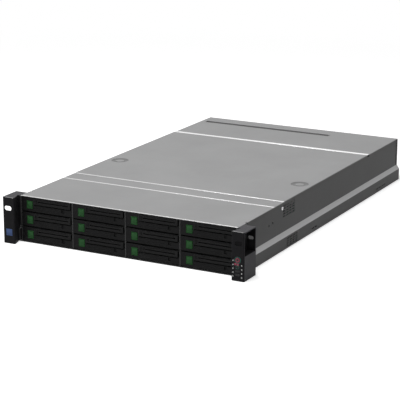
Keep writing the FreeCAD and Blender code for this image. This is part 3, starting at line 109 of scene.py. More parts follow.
# %% Wires and finishes
class Wire:
    """An output socket that can be used in sums."""

    def __init__(self, graph, socket):
        self.graph = graph
        self.socket = socket

    def of(self, name):
        """Another output of the same node."""
        return Wire(self.graph, self.socket.node.outputs[name])

    def maths(self, operation, *values):
        """A Math node with the operation and values given."""
        return self.graph.add("ShaderNodeMath", {"operation": operation}, dict(enumerate(values)))

    def __add__(self, other):
        return self.maths("ADD", self, other)

    def __rsub__(self, other):
        return self.maths("SUBTRACT", other, self)

    def __mul__(self, other):
        return self.maths("MULTIPLY", self, other)

    def between(self, low, high):
        """0 at low and 1 at high, kept inside that range."""
        return self.graph.add("ShaderNodeMapRange", {"clamp": True},
                              {"Value": self, "From Min": low, "From Max": high})

    __radd__ = __add__
    __rmul__ = __mul__


class Graph:
    """An emptied node tree, and the one way in which nodes are added to it."""

    def __init__(self, tree):
        self.tree = tree
        tree.nodes.clear()

    def feed(self, socket, value):
        """Links a wire to a socket, or writes a number, colour or vector into it."""
        if isinstance(value, Wire):
            self.tree.links.new(value.socket, socket)
        elif isinstance(value, tuple) and len(value) == 3 and socket.type == "RGBA":
            socket.default_value = (*value, 1)
        else:
            socket.default_value = value

    def add(self, kind, settings, inputs):
        """Adds a node: its settings first, then the values and wires of its sockets."""
        node = self.tree.nodes.new(kind)
        for name, value in settings.items():
            setattr(node, name, value)
        for key, value in inputs.items():
            self.feed(node.inputs[key], value)
        return Wire(self, next((socket for socket in node.outputs if socket.enabled), None))


class Finish(Graph):
    """A material with one Principled shader, and the nodes that feed it."""

    def __init__(self, name, **constants):
        self.material = bpy.data.materials.new(name)
        self.material.use_nodes = True
        super().__init__(self.material.node_tree)
        surface = self.add("ShaderNodeBsdfPrincipled", {}, {})
        self.shader = surface.socket.node
        self.add("ShaderNodeOutputMaterial", {}, {"Surface": surface})
        self.set(**constants)

    def set(self, **values):
        """Feeds the shader's sockets, named with _ for each space."""
        for socket, value in values.items():
            self.feed(self.shader.inputs[socket.replace("_", " ")], value)

    def where(self):
        """Places on the piece, in metres, which move with it."""
        return self.add("ShaderNodeTexCoord", {}, {}).of("Object")

    def axes(self):
        """The same places taken apart, for `.of("X")`, `.of("Y")` and `.of("Z")`."""
        return self.add("ShaderNodeSeparateXYZ", {}, {"Vector": self.where()})

    def stretched(self, x, y, z):
        """The same places scaled on each axis; a small scale draws a pattern out along it."""
        return self.add("ShaderNodeMapping", {}, {"Vector": self.where(), "Scale": (x, y, z)})

    def noise(self, scale, detail=3.0, place=None):
        """Cloudy values from 0 to 1, with `scale` clouds to a metre."""
        return self.add("ShaderNodeTexNoise", {}, {
            "Vector": place or self.where(), "Scale": scale, "Detail": detail, "Roughness": 0.55})

    def blend(self, mask, low, high):
        """One colour where the mask is 0 and the other where it is 1."""
        return self.add("ShaderNodeMix", {"data_type": "RGBA"}, {"Factor": mask, 6: low, 7: high})

    def edges(self, width, strength):
        """1 along the piece's sharp edges, from how far a rounded normal turns from the true one."""
        soft = self.add("ShaderNodeBevel", {"samples": 4}, {"Radius": width * MM})
        true = self.add("ShaderNodeNewGeometry", {}, {}).of("True Normal")
        facing = self.add("ShaderNodeVectorMath", {"operation": "DOT_PRODUCT"}, {0: soft, 1: true})
        return (1 - facing.of("Value")).between(0.0, 1.0 / strength)

    def grain(self, height, strength, width=0.4):
        """Bump from a height, over edges that are rounded a little."""
        soft = self.add("ShaderNodeBevel", {"samples": 4}, {"Radius": width * MM})
        bump = self.add("ShaderNodeBump", {}, {
            "Height": height, "Strength": strength, "Distance": 0.0004, "Normal": soft})
        self.set(Normal=bump)


print("helpers ready")

# %% [markdown]
# ## Steel sheet
# The case is bent from zinc-coated steel. Its surface is an even satin grey, with a fine
# grain from the rolling mill along the sheet, faint cloudy smudges and lighter edges, which
# are partly wear and partly a painted highlight. A stretched noise makes the grain and a large
# one makes the smudges. A band of painted highlight lies on the case's outer ledge, and the
# front faces of the sheets carry painted shade.


# %% Steel finishes
# Colours of the painted highlight on the case's ledge and of the painted shade on front faces.
LEDGE_HIGHLIGHT = (0.84, 0.84, 0.84)
FRONT_SHADE = (0.085, 0.085, 0.085)
WALL_FACE = 218.0


def steel(name, tone, metallic=0.06, roughness=0.5, sheen_heights=None, front_shade_at=None, edge_wear_and_highlight=1.7,
          gloss_level=0.15):
    """Zinc-coated sheet: one grey tone, rolled grain, smudges and edges lighter by
    `edge_wear_and_highlight`.

    Between the two heights given for the ledge, the outer face of the wall carries a painted
    highlight, and ahead of the plane given for the front the sheet carries painted shade. The
    lighter edges are partly wear of the cut edges and partly a painted highlight.
    """
    finish = Finish(name, Metallic=metallic, Specular_IOR_Level=gloss_level)
    clouds = finish.noise(9.0, 4.0)
    rolled = finish.noise(900.0, 2.0, finish.stretched(1.0, 0.05, 1.0))
    fine = finish.noise(2600.0, 2.0)
    dark = tuple(0.90 * part for part in tone)
    light = tuple(1.08 * part for part in tone)
    skin = finish.blend(clouds.between(0.35, 0.65) * 0.6 + rolled * 0.4, dark, light)
    worn = finish.edges(0.5, 3.0)
    bright = tuple(min(1.0, edge_wear_and_highlight * part) for part in tone)
    # Painted highlight on the ledge of the outer wall, a little more metallic there.
    if sheen_heights:
        place = finish.axes()
        height = place.of("Z")
        across = place.of("X")
        low, high = (level * MM for level in sheen_heights)
        ledge_sheen = height.between(low, low + 0.4 * MM) * (1 - height.between(high - 0.4 * MM, high))
        lit_side = across.maths("ABSOLUTE", across).between((WALL_FACE - 0.8) * MM, (WALL_FACE - 0.2) * MM)
        ledge_sheen = ledge_sheen * lit_side
        skin = finish.blend(ledge_sheen * (0.8 + rolled * 0.2), skin, LEDGE_HIGHLIGHT)
        finish.set(Metallic=ledge_sheen * 0.2 + metallic)
    # Lighter edges, partly wear and partly a painted highlight.
    skin = finish.blend(worn * 0.8, skin, bright)
    # Painted shade on the front faces, ahead of the given plane.
    if front_shade_at:
        back = finish.axes().of("Y")
        skin = finish.blend(back.between(front_shade_at * MM, (front_shade_at + 0.6) * MM), FRONT_SHADE, skin)
    finish.set(Base_Color=skin,
               Roughness=roughness - 0.08 + clouds * 0.14 + rolled * 0.05)
    finish.grain(rolled * 0.6 + fine * 0.4, 0.10)
    return finish.material


# The front faces of cover, case and cage carry painted shade, and the case's outer ledge a painted
# highlight.
COVER_STEEL = steel("cover_steel", (0.335, 0.335, 0.337), front_shade_at=-21.9)
CASE_STEEL = steel("case_steel", (0.255, 0.255, 0.257), sheen_heights=(22.4, 31.0), front_shade_at=-21.8,
                   metallic=0.0, edge_wear_and_highlight=1.1, gloss_level=0.11)
CAGE_STEEL = steel("cage_steel", (0.42, 0.42, 0.43), metallic=0.4, front_shade_at=-21.8)
# Much lighter copies of the zinc for the folded and cut edges: partly bare zinc, partly a painted
# highlight.
EDGE_HIGHLIGHT_ZINC = steel("edge_highlight_zinc", (0.74, 0.74, 0.74), metallic=0.6, roughness=0.35)
JOGGLE_HIGHLIGHT_ZINC = steel("joggle_highlight_zinc", (0.96, 0.96, 0.96), metallic=0.9, roughness=0.3)
GROOVE_SHADE = steel("groove_shade", (0.10, 0.10, 0.10), edge_wear_and_highlight=1.0)
SHADED_STEEL = steel("shaded_steel", (0.205, 0.205, 0.205), edge_wear_and_highlight=1.0)
print("steel finishes", COVER_STEEL.name, CASE_STEEL.name, CAGE_STEEL.name)

# %% [markdown]
# ## Moulded plastic
# The bezels, levers and ears are black plastic from a spark-eroded mould, which leaves a
# fine leathery texture. A Voronoi pattern gives its small cells, a slow noise varies the
# gloss, and handling polishes the edges to a lighter grey.


# %% Plastic finishes
def moulded(name, tone, roughness=0.45, edge=2.2, texture=0.12, gloss_level=0.08, lit_side=None):
    """Moulded plastic: fine mould texture, uneven gloss and polished edges.

    Beyond the given distance from the middle of the case the sides carry a painted highlight,
    and the top a weaker one.
    """
    finish = Finish(name, Specular_IOR_Level=gloss_level)
    cells = finish.add("ShaderNodeTexVoronoi", {"feature": "F1"}, {
        "Vector": finish.where(), "Scale": 1900.0})
    gloss = finish.noise(60.0, 3.0)
    worn = finish.edges(0.45, 3.0)
    dull = tuple(0.85 * part for part in tone)
    polished = tuple(min(1.0, edge * part + 0.004) for part in tone)
    skin = finish.blend(gloss.between(0.3, 0.7), dull, tone)
    # Painted highlight on the outer sides, and a weaker one on the top.
    if lit_side:
        place = finish.axes()
        across = place.of("X")
        side_and_top_light = across.maths("ABSOLUTE", across).between((lit_side - 0.1) * MM, lit_side * MM)
        top = place.of("Z").between(85.2 * MM, 85.35 * MM)
        side_and_top_light = side_and_top_light * (0.6 + gloss * 0.4) + top * 0.24
        skin = finish.blend(side_and_top_light, skin, tuple(6.4 * part for part in tone))
    finish.set(Base_Color=finish.blend(worn * 0.7, skin, polished),
               Roughness=roughness - 0.08 + gloss * 0.16)
    finish.grain(cells, texture)
    return finish.material


BEZEL_BLACK = moulded("bezel_black", (0.016, 0.016, 0.0165))
LEVER_BLACK = moulded("lever_black", (0.026, 0.026, 0.0265), roughness=0.4, edge=3.0)
# The ears' outer sides and top carry a painted highlight.
EAR_BLACK = moulded("ear_black", (0.032, 0.0315, 0.034), roughness=0.5, edge=2.6, lit_side=241.2,
                    gloss_level=0.05)
TOUCH_GREEN = moulded("touch_green", (0.056, 0.185, 0.064), roughness=0.35, edge=1.3, texture=0.05)
RIM_GREEN = moulded("rim_green", (0.030, 0.125, 0.036), roughness=0.4, edge=1.5, texture=0.05)
LATCH_GREEN = moulded("latch_green", (0.04, 0.26, 0.12), roughness=0.35, edge=1.4, texture=0.05)
FAN_BLACK = moulded("fan_black", (0.020, 0.020, 0.020), roughness=0.5, gloss_level=0.2)
KEY_BLACK = moulded("key_black", (0.03, 0.03, 0.032), roughness=0.3, texture=0.02, gloss_level=0.2)
print("plastic finishes ready")

# %% [markdown]
# ## Boards, metals and lenses
# The boards are green solder mask over copper tracks. The tracks are drawn by a brick
# pattern turned into thin lines, which is enough under a bump. Bright metal parts share one
# maker, and the small lamps are clear plastic with a soft colour of their own.


# %% Other finishes
PORT_ZINC = (0.60, 0.60, 0.61)
PORTS_FRONT = 690.0
PORTS_FLOOR = 12.8


def board(name):
    """Solder mask with raised tracks and a fine weave; the ports at its rear edge are zinc."""
    finish = Finish(name, Specular_IOR_Level=0.5)
    tracks = finish.add("ShaderNodeTexBrick", {"offset": 0.37, "squash": 0.6}, {
        "Vector": finish.where(), "Scale": 90.0, "Mortar Size": 0.06, "Brick Width": 0.9,
        "Row Height": 0.16}).of("Fac")
    weave = finish.noise(1500.0, 2.0)
    skin = finish.blend(tracks, (0.012, 0.085, 0.035), (0.030, 0.16, 0.07))
    place = finish.axes()
    port = (place.of("Y").between(PORTS_FRONT * MM, (PORTS_FRONT + 0.4) * MM)
            * place.of("Z").between(PORTS_FLOOR * MM, (PORTS_FLOOR + 0.2) * MM))
    finish.set(Base_Color=finish.blend(port, skin, PORT_ZINC), Metallic=port * 0.9,
               Roughness=0.28 + weave * 0.16)
    finish.grain(tracks * 0.7 + weave * 0.3, 0.2, 0.1)
    return finish.material


def bright_metal(name, tone, roughness, grain_scale=1500.0):
    """Plated or drawn metal with fine scratches and lighter edges."""
    finish = Finish(name, Metallic=0.9)
    marks = finish.noise(grain_scale, 2.0, finish.stretched(1.0, 1.0, 0.08))
    smudge = finish.noise(70.0, 3.0)
    worn = finish.edges(0.3, 3.0)
    dull = tuple(0.86 * part for part in tone)
    light = tuple(min(1.0, 1.15 * part) for part in tone)
    skin = finish.blend(marks * 0.5 + smudge * 0.5, dull, tone)
    finish.set(Base_Color=finish.blend(worn, skin, light),
               Roughness=roughness - 0.06 + smudge * 0.14)
    finish.grain(marks, 0.08, 0.2)
    return finish.material


def lens(name, tone, glow=0.0, gloss_level=0.5):
    """A lamp's lens: glossy plastic, a little uneven, with a weak glow of its own."""
    finish = Finish(name, Emission_Strength=glow, Specular_IOR_Level=gloss_level)
    cloud = finish.noise(800.0, 2.0)
    colour = finish.blend(cloud, tuple(0.8 * part for part in tone), tone)
    finish.set(Base_Color=colour, Emission_Color=colour, Roughness=0.15 + cloud * 0.2)
    return finish.material


BOARD_GREEN = board("board_green")
FIN_ALUMINIUM = bright_metal("fin_aluminium", (0.70, 0.71, 0.72), 0.38)
SCREW_ZINC = bright_metal("screw_zinc", (0.62, 0.62, 0.63), 0.25)
SUPPLY_STEEL = steel("supply_steel", (0.40, 0.40, 0.40), metallic=0.5)
PIN_GOLD = bright_metal("pin_gold", (0.80, 0.58, 0.22), 0.25)
LENS_WHITE = lens("lens_white", (0.75, 0.76, 0.75), 0.12)
LENS_SMOKE = lens("lens_smoke", (0.022, 0.022, 0.022), gloss_level=0.1)
LENS_RED = lens("lens_red", (0.36, 0.035, 0.08), 0.12)
LENS_TEAL = lens("lens_teal", (0.02, 0.16, 0.12), 0.10)
LENS_GREEN = lens("lens_green", (0.05, 0.45, 0.10), 0.3)
LABEL_BLUE = moulded("label_blue", (0.17, 0.26, 0.56), roughness=0.4, edge=1.2, texture=0.03)
PORT_BLUE = moulded("port_blue", (0.02, 0.07, 0.30), roughness=0.4, edge=1.4, texture=0.03)
PART_CREAM = moulded("part_cream", (0.55, 0.52, 0.42), roughness=0.5, edge=1.2, texture=0.05)
print("all finishes", len(bpy.data.materials))

# %% [markdown]
# ## Which finish each CAD node wears
# Most of the CAD solids already have the right shape, so they stay and only get a finish.
# The carriers, levers and buttons are made again below with finer detail.

# %% Dress the CAD nodes
FINISH_OF_SLOT = {
    "case_steel": CASE_STEEL,
    "cover_steel": COVER_STEEL,
    "cage_steel": CAGE_STEEL,
    "bezel_black": BEZEL_BLACK,
    "lever_black": LEVER_BLACK,
    "touch_green": TOUCH_GREEN,
    "ear_black": EAR_BLACK,
    "key_black": KEY_BLACK,
    "board_green": BOARD_GREEN,
    "fan_black": FAN_BLACK,
    "fin_aluminium": FIN_ALUMINIUM,
    "supply_steel": SUPPLY_STEEL,
    "latch_green": LATCH_GREEN,
    "screw_zinc": SCREW_ZINC,
}
for row in frame["record"]["subparts"]:
    skin_slots = NODES[row["node"]].data.materials
    skin_slots.clear()
    skin_slots.append(FINISH_OF_SLOT[row["material_slot"]])

# %% [markdown]
# ## A small workshop
# Every new piece is put together from a few kinds of solid: bevelled blocks, turned rods,
# padded outlines and a relief, which is a plate whose front steps in and out over a grid of
# lines. `Form` collects them in millimetres, and `show` makes the object and hangs it on an
# empty for the body it rides on.


# %% Forms
def along_axis(axis, across, up, level):
    """The place of a point given across and up a section, and along the section's axis."""
    return {"X": (level, across, up), "Y": (across, level, up), "Z": (across, up, level)}[axis]


def circle(centre, radius, sides):
    """The (across, up) corners of a regular outline."""
    turns = [2 * math.pi * i / sides for i in range(sides)]
    return [(centre[0] + radius * math.cos(turn), centre[1] + radius * math.sin(turn))
            for turn in turns]


def edges_of(faces):
    """Each edge of the faces once, in an order that is the same in every run."""
    return list(dict.fromkeys(edge for face in faces for edge in face.edges))


class Form:
    """Solids in millimetres that become one mesh, each with one of the piece's finishes."""

    def __init__(self):
        self.mesh = bmesh.new()
        self.finishes = []

    def wear(self, faces, finish):
        """Gives faces one of the piece's finishes, adding it to them first if it is new."""
        if finish not in self.finishes:
            self.finishes.append(finish)
        for face in faces:
            face.material_index = self.finishes.index(finish)

    def soften(self, faces, bevel, segments=2):
        """Rounds the sharp edges of the faces given."""
        if bevel > 0:
            sharp = [edge for edge in edges_of(faces)
                     if len(edge.link_faces) == 2 and edge.calc_face_angle(0) > 0.6]
            bmesh.ops.bevel(self.mesh, geom=sharp, offset=bevel, segments=segments,
                            profile=0.5, affect="EDGES", clamp_overlap=True)

    def prism(self, outline, low, high, along, finish, bevel=0.0, segments=2):
        """An outline of (across, up) corners, drawn out along X, Y or Z."""
        before = set(self.mesh.faces)
        ends = [[self.mesh.verts.new(along_axis(along, a, b, level)) for a, b in outline]
                for level in (low, high)]
        count = len(outline)
        sides = [self.mesh.faces.new((ends[0][i], ends[0][(i + 1) % count],
                                      ends[1][(i + 1) % count], ends[1][i])) for i in range(count)]
        caps = [self.mesh.faces.new(ends[0]), self.mesh.faces.new(ends[1])]
        bmesh.ops.recalc_face_normals(self.mesh, faces=sides + caps)
        self.soften(sides + caps, bevel, segments)
        self.wear([face for face in self.mesh.faces if face not in before], finish)

    def block(self, x, y, z, finish, bevel=0.0):
        """A box between two places along each axis."""
        outline = [(x[0], z[0]), (x[1], z[0]), (x[1], z[1]), (x[0], z[1])]
        self.prism(outline, y[0], y[1], "Y", finish, bevel)

    def rod(self, centre, radius, low, high, along, finish, bevel=0.0, sides=32):
        """A cylinder about the centre given as (across, up)."""
        self.prism(circle(centre, radius, sides), low, high, along, finish, bevel)

    def lathe(self, centre, profile, along, finish, sides=40):
        """A turned solid: (radius, level) points turned about an axis; radius 0 closes an end."""
        before = set(self.mesh.faces)
        rings = []
        for radius, level in profile:
            points = circle(centre, radius, sides) if radius > 1e-6 else [centre]
            rings.append([self.mesh.verts.new(along_axis(along, a, b, level)) for a, b in points])
        for first, second in zip(rings, rings[1:]):
            for i in range(sides):
                corners = [first[i % len(first)], first[(i + 1) % len(first)],
                           second[(i + 1) % len(second)], second[i % len(second)]]
                self.mesh.faces.new(list(dict.fromkeys(corners)))
        new = [face for face in self.mesh.faces if face not in before]
        bmesh.ops.recalc_face_normals(self.mesh, faces=new)
        self.wear(new, finish)

    def relief(self, lines_x, lines_z, depth, back, finish, bevel=0.2):
        """A plate that faces -Y: each cell of the grid of lines has its own front depth."""
        before = set(self.mesh.faces)
        corners = {}

        def corner(x, y, z):
            key = (round(x, 4), round(y, 4), round(z, 4))
            if key not in corners:
                corners[key] = self.mesh.verts.new(key)
            return corners[key]

        def level(i, j):
            inside = 0 <= i < len(lines_x) - 1 and 0 <= j < len(lines_z) - 1
            if not inside:
                return back
            return depth((lines_x[i] + lines_x[i + 1]) / 2, (lines_z[j] + lines_z[j + 1]) / 2)

        def wall(a, b, first, second):
            if abs(first - second) > 1e-6:
                self.mesh.faces.new((corner(a[0], first, a[1]), corner(b[0], first, b[1]),
                                     corner(b[0], second, b[1]), corner(a[0], second, a[1])))

        for i in range(-1, len(lines_x) - 1):
            for j in range(-1, len(lines_z) - 1):
                here = level(i, j)
                if i >= 0 and j >= 0:
                    square = [(lines_x[i], lines_z[j]), (lines_x[i + 1], lines_z[j]),
                              (lines_x[i + 1], lines_z[j + 1]), (lines_x[i], lines_z[j + 1])]
                    self.mesh.faces.new([corner(x, here, z) for x, z in square])
                    self.mesh.faces.new([corner(x, back, z) for x, z in square])
                if j >= 0:
                    wall((lines_x[i + 1], lines_z[j]), (lines_x[i + 1], lines_z[j + 1]),
                         here, level(i + 1, j))
                if i >= 0:
                    wall((lines_x[i], lines_z[j + 1]), (lines_x[i + 1], lines_z[j + 1]),
                         here, level(i, j + 1))
        new = [face for face in self.mesh.faces if face not in before]
        bmesh.ops.recalc_face_normals(self.mesh, faces=new)
        bmesh.ops.dissolve_limit(self.mesh, angle_limit=0.01, edges=edges_of(new),
                                 verts=list(corners.values()))
        new = [face for face in self.mesh.faces if face not in before]
        self.soften(new, bevel)
        self.wear([face for face in self.mesh.faces if face not in before], finish)

    def moved(self, x=0.0, y=0.0, z=0.0):
        """A copy at another place."""
        copy = Form()
        copy.mesh = self.mesh.copy()
        copy.finishes = list(self.finishes)
        bmesh.ops.translate(copy.mesh, verts=copy.mesh.verts, vec=(x, y, z))
        return copy


def show(name, form, body, replaces=()):
    """Turns a form into an object that rides on a body."""
    mesh = bpy.data.meshes.new(name)
    bmesh.ops.scale(form.mesh, verts=form.mesh.verts, vec=(MM, MM, MM))
    form.mesh.to_mesh(mesh)
    form.mesh.free()
    for finish in form.finishes:
        mesh.materials.append(finish)
    for face in mesh.polygons:
        face.use_smooth = True
    piece = bpy.data.objects.new(name, mesh)
    bpy.context.scene.collection.objects.link(piece)
    mesh.set_sharp_from_angle(angle=math.radians(40))
    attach(piece, body)
    if replaces:
        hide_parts(*replaces)


print("workshop ready")

# %% [markdown]
# ## Drive carriers
# All twelve carriers are the same, so one form is built around the middle of a bay and
# copied. The front is a relief: beds for the button and the lever, a long vent under the
# lever, three blind rows below it, a catch and two small lamps. Behind it stand the side
# rails and the disk, which show when a carrier is drawn out. The lever is a relief too,
# with a ribbed grip and two long grooves. A bed is (left, right, low, high), measured from
# the bay's middle and its floor.

# %% One carrier, copied twelve times
BUTTON_BED = (-42.25, -29.15, 6.417, 21.317)
LEVER_BED = (-27.8, 52.0, 15.433, 26.233)
LAMP_BEDS = [(-49.0, -46.5, 6.0, 10.0), (-49.0, -46.5, 15.0, 19.0)]
VENT_BED = (-26.8, 50.5, 13.4, 14.9)
UNDERCUT = (-51.5, 51.5, 0.4, 2.2)
BLIND_BEDS = [(left, right, low, low + 2.3) for left, right in ((-26.8, 12.0), (14.0, 29.0))
              for low in (3.6, 6.9, 10.2)]
CATCH_BED = (31.0, 36.6, 6.9, 12.9)
CARRIER_FACE = -22.0
CARRIER_BACK = -10.0
CARRIER_END = 139.0
BED_DEPTHS = [(BUTTON_BED, -14.4), (LEVER_BED, -14.4), (CATCH_BED, -20.2), (VENT_BED, -15.0),
              (UNDERCUT, -18.0)]
BED_DEPTHS += [(bed, -21.5) for bed in LAMP_BEDS]
BED_DEPTHS += [(bed, -21.75) for bed in BLIND_BEDS]
PIN_PLACE = (46.8, -19.5)


def grid_lines(beds, left, right, low, high):
    """The sorted lines that bound some beds and the plate round them."""
    across = {left, right}
    up = {low, high}
    for bed, _ in beds:
        across.update(bed[:2])
        up.update(bed[2:])
    return sorted(across), sorted(up)


def bed_depth(beds, face):
    """A function that gives the depth of the bed at a place, or the face beside it."""
    def depth(x, z):
        for (left, right, low, high), level in beds:
            if left < x < right and low < z < high:
                return level
        return face
    return depth


def carrier_front(form):
    """The moulded face with its beds, the two lamps and the lever's pin."""
    lines = grid_lines(BED_DEPTHS, -53.0, 53.0, 0.4, 27.333)
    form.relief(*lines, bed_depth(BED_DEPTHS, CARRIER_FACE), CARRIER_BACK, BEZEL_BLACK, 0.3)
    for left, right, low, high in LAMP_BEDS:
        form.block((left + 0.15, right - 0.15), (-21.9, -21.4), (low + 0.15, high - 0.15),
                   LENS_SMOKE, 0.12)
    form.rod(PIN_PLACE, 1.2, *LEVER_BED[2:], "Z", SCREW_ZINC)


def carrier_rails(form):
    """The two side rails, each with the three screws that hold the disk."""
    for side in (-1, 1):
        inside, outside = side * 50.8, side * 52.7
        form.block(sorted((inside, outside)), (CARRIER_BACK, CARRIER_END), (1.2, 15.2), CAGE_STEEL, 0.4)
        for y in (24.0, 68.0, 112.0):
            form.rod((y, 8.2), 2.6, *sorted((outside, outside + side * 0.3)), "X", SCREW_ZINC, 0.1)


def carrier_disk(form):
    """A disk: cast case, lid with a raised hub and six screws, and its connector behind."""
    form.block((-50.7, 50.7), (-8.0, CARRIER_END), (1.25, 26.4), FIN_ALUMINIUM, 1.2)
    lid = [(-47.7, -4.5), (47.7, -4.5), (47.7, 108.0), (39.0, 116.5), (-39.0, 116.5),
           (-47.7, 108.0)]
    form.prism(lid, 26.3, 27.2, "Z", SUPPLY_STEEL, 0.4)
    form.lathe((0.0, 42.0), [(0.0, 27.28), (17.0, 27.28), (18.0, 27.1), (18.0, 26.9)], "Z",
               FIN_ALUMINIUM)
    for x, y in ((-44, -1), (44, -1), (-44, 52), (44, 52), (-36, 112), (36, 112)):
        form.rod((x, y), 2.2, 27.1, 27.3, "Z", SCREW_ZINC, 0.08, sides=16)
    form.block((-34.0, 4.0), (128.0, 138.9), (3.0, 9.5), KEY_BLACK, 0.5)
    for i in range(14):
        form.block((-31.0 + 2.4 * i, -29.8 + 2.4 * i), (131.0, 138.95), (9.3, 9.7), PIN_GOLD)


carrier = Form()
carrier_front(carrier)
carrier_rails(carrier)
carrier_disk(carrier)
button = Form()
button_dish = [((-41.0, -30.6, 8.0, 19.8), -22.0)]
button_lines = grid_lines(button_dish, -42.0, -29.4, 6.667, 21.067)
button.relief(*button_lines, bed_depth(button_dish, -22.5), -17.0, RIM_GREEN, 0.45)
button.block((-40.8, -30.8), (-22.35, -21.8), (8.2, 19.6), TOUCH_GREEN, 0.3)
lever_beds = [((x, x + 1.4, 17.2, 24.4), -21.6) for x in (-24.4, -21.4)]
lever_beds += [((-18.0, 45.0, 19.8, 22.0), -17.6), ((-18.0, 45.0, 24.3, 25.0), -21.6)]
lever = Form()
lever_lines = grid_lines(lever_beds, -27.4, 49.8, 15.833, 25.833)
lever.relief(*lever_lines, bed_depth(lever_beds, -22.6), -16.4, LEVER_BLACK, 0.35)
for number in range(1, 13):
    low, high = span(f"carrier_{number:02d}")
    place = {"x": (low[0] + high[0]) / 2, "z": low[2] - 0.4}
    show(f"drive_{number:02d}_front_and_disk", carrier.moved(**place), f"drive_{number:02d}",
         [f"carrier_{number:02d}"])
    show(f"drive_{number:02d}_button", button.moved(**place), f"release_{number:02d}",
         [f"release_button_{number:02d}"])
    show(f"drive_{number:02d}_lever", lever.moved(**place), f"lever_{number:02d}",
         [f"eject_lever_{number:02d}"])
print("drives", number, "beds in each front", len(BED_DEPTHS))

# %% [markdown]
# ## Control panel and label field
# The right ear has a shallow panel with small lamps beside its two buttons. The left ear
# has a plain coloured field. All of it stands inside the recesses of the ears, so nothing
# passes the front of the case.


# %% Lamps and buttons of the ears
def ring_of(form, centre, inner, outer, low, high, finish, sides=40):
    """A flat ring with rounded rims, about an axis along Y."""
    form.lathe(centre, [(inner, high), (inner, low + 0.1), (inner + 0.1, low),
                        (outer - 0.1, low), (outer, low + 0.1), (outer, high)], "Y", finish, sides)


FACE = span("right_ear")[0][1]
PANEL_BACK = FACE + 0.6
PANEL_LAMPS = (PANEL_BACK - 0.4, PANEL_BACK + 0.1)
KEY_END = -39.0
key_low, key_high = span("power_button")
id_low, id_high = span("id_button")
key_x = (key_low[0] + key_high[0]) / 2
key_z = (key_low[2] + key_high[2]) / 2
id_z = (id_low[2] + id_high[2]) / 2

panel = Form()
ring_of(panel, (key_x, key_z), 5.1, 5.95, PANEL_BACK - 0.45, PANEL_BACK, LENS_TEAL)
ring_of(panel, (key_x, id_z), 2.7, 3.3, PANEL_BACK - 0.35, PANEL_BACK, LENS_TEAL)
for left, heights in ((219.4, (35.1, 28.2, 21.5, 14.6, 7.8)), (235.6, (27.8, 20.8, 13.9, 6.8))):
    for z in heights:
        panel.block((left, left + 2.0), PANEL_LAMPS, (z - 1.1, z + 1.1), LENS_WHITE, 0.2)
for x in (224.6, 229.4):
    panel.block((x - 2.1, x + 2.1), PANEL_LAMPS, (27.2, 31.0), LENS_RED, 0.3)
for z in (17.2, 10.6):
    panel.block((224.4, 233.4), (PANEL_BACK - 0.3, PANEL_BACK + 0.1), (z - 1.9, z + 1.9),
                KEY_BLACK, 0.3)
show("control_panel_lamps", panel, "case")

power = Form()
power.lathe((key_x, key_z), [(0.0, KEY_END), (4.6, KEY_END), (4.6, -43.5), (4.45, -43.85),
                             (4.1, -44.0), (4.1, -43.7), (3.9, -43.5), (2.2, -43.5), (0.0, -43.5)],
            "Y", KEY_BLACK)
ring_of(power, (key_x, key_z), 2.1, 3.9, -43.95, -43.5, LENS_RED, 32)
show("power_button_cap", power, "power_key", ["power_button"])

ident = Form()
ident.lathe((key_x, id_z), [(0.0, KEY_END), (2.2, KEY_END), (2.2, -43.7), (2.0, -43.95),
                            (1.7, -44.0), (1.3, -44.0), (1.1, -43.7), (0.0, -43.6)],
            "Y", KEY_BLACK, 28)
show("id_button_cap", ident, "id_key", ["id_button"])

field = Form()
field.block((-235.3, -222.5), (FACE + 0.2, FACE + 0.62), (14.4, 27.2), LABEL_BLUE, 0.3)
show("left_label_field", field, "case")
print("panel at", round(key_x, 1), round(key_z, 1))

# %% [markdown]
# ## Folded and cut edges
# The front lip, the seams and the step in front of the rear cover are bare zinc where the
# sheet is folded or cut. They get a much lighter zinc than the sheet, partly a painted
# highlight, so they read as thin bright lines beside dark gaps. Each is a narrow strip with its
# own section, laid along X over the sheet's edge. Dark strips of painted shade stand in the
# groove behind the seam, under the rear slot, and in the gaps where each wall ends at the
# rear panel and beside the step.


# %% Hems, lip and joggle
def strip(name, section, body, finish=EDGE_HIGHLIGHT_ZINC, half=217.6, middle=0.0):
    """A strip along X with the section given as (back, up) corners."""
    form = Form()
    form.prism(section, middle - half, middle + half, "X", finish, 0.05, 1)
    show(name, form, body)


strip("front_lip", [(-21.9, 85.1), (-21.9, 85.3), (-21.0, 85.6), (-18.2, 85.6), (-18.0, 85.1)],
      "case")
strip("seam_hem", [(118.9, 85.1), (118.9, 85.5), (119.6, 85.75), (122.2, 85.75), (122.6, 85.1)],
      "case")
strip("seam_shade", [(122.7, 84.7), (122.7, 84.9), (123.1, 84.9), (123.1, 84.7)],
      "case", GROOVE_SHADE)
for side, middle in (("left", -228.6), ("right", 228.6)):
    strip(f"{side}_ear_edge", [(-43.98, 84.9), (-43.98, 85.1), (-43.2, 85.46), (-42.6, 85.46),
                               (-42.6, 84.9)], "case", half=10.2, middle=middle)
strip("main_cover_hem", [(158.9, 85.5), (158.9, 85.6), (160.2, 86.05), (161.9, 86.08),
                         (161.9, 85.5)], "lid")
strip("rear_joggle", [(547.7, 83.2), (547.7, 85.5), (548.3, 86.08), (556.9, 86.08), (557.3, 85.7),
                      (557.3, 83.2)], "case", JOGGLE_HIGHLIGHT_ZINC)
# A dark strip of painted shade under the rear cover's slot.
strip("rear_slot_shade", [(660.0, 83.6), (660.0, 84.1), (682.0, 84.1), (682.0, 83.6)], "case",
      GROOVE_SHADE, 214.0)
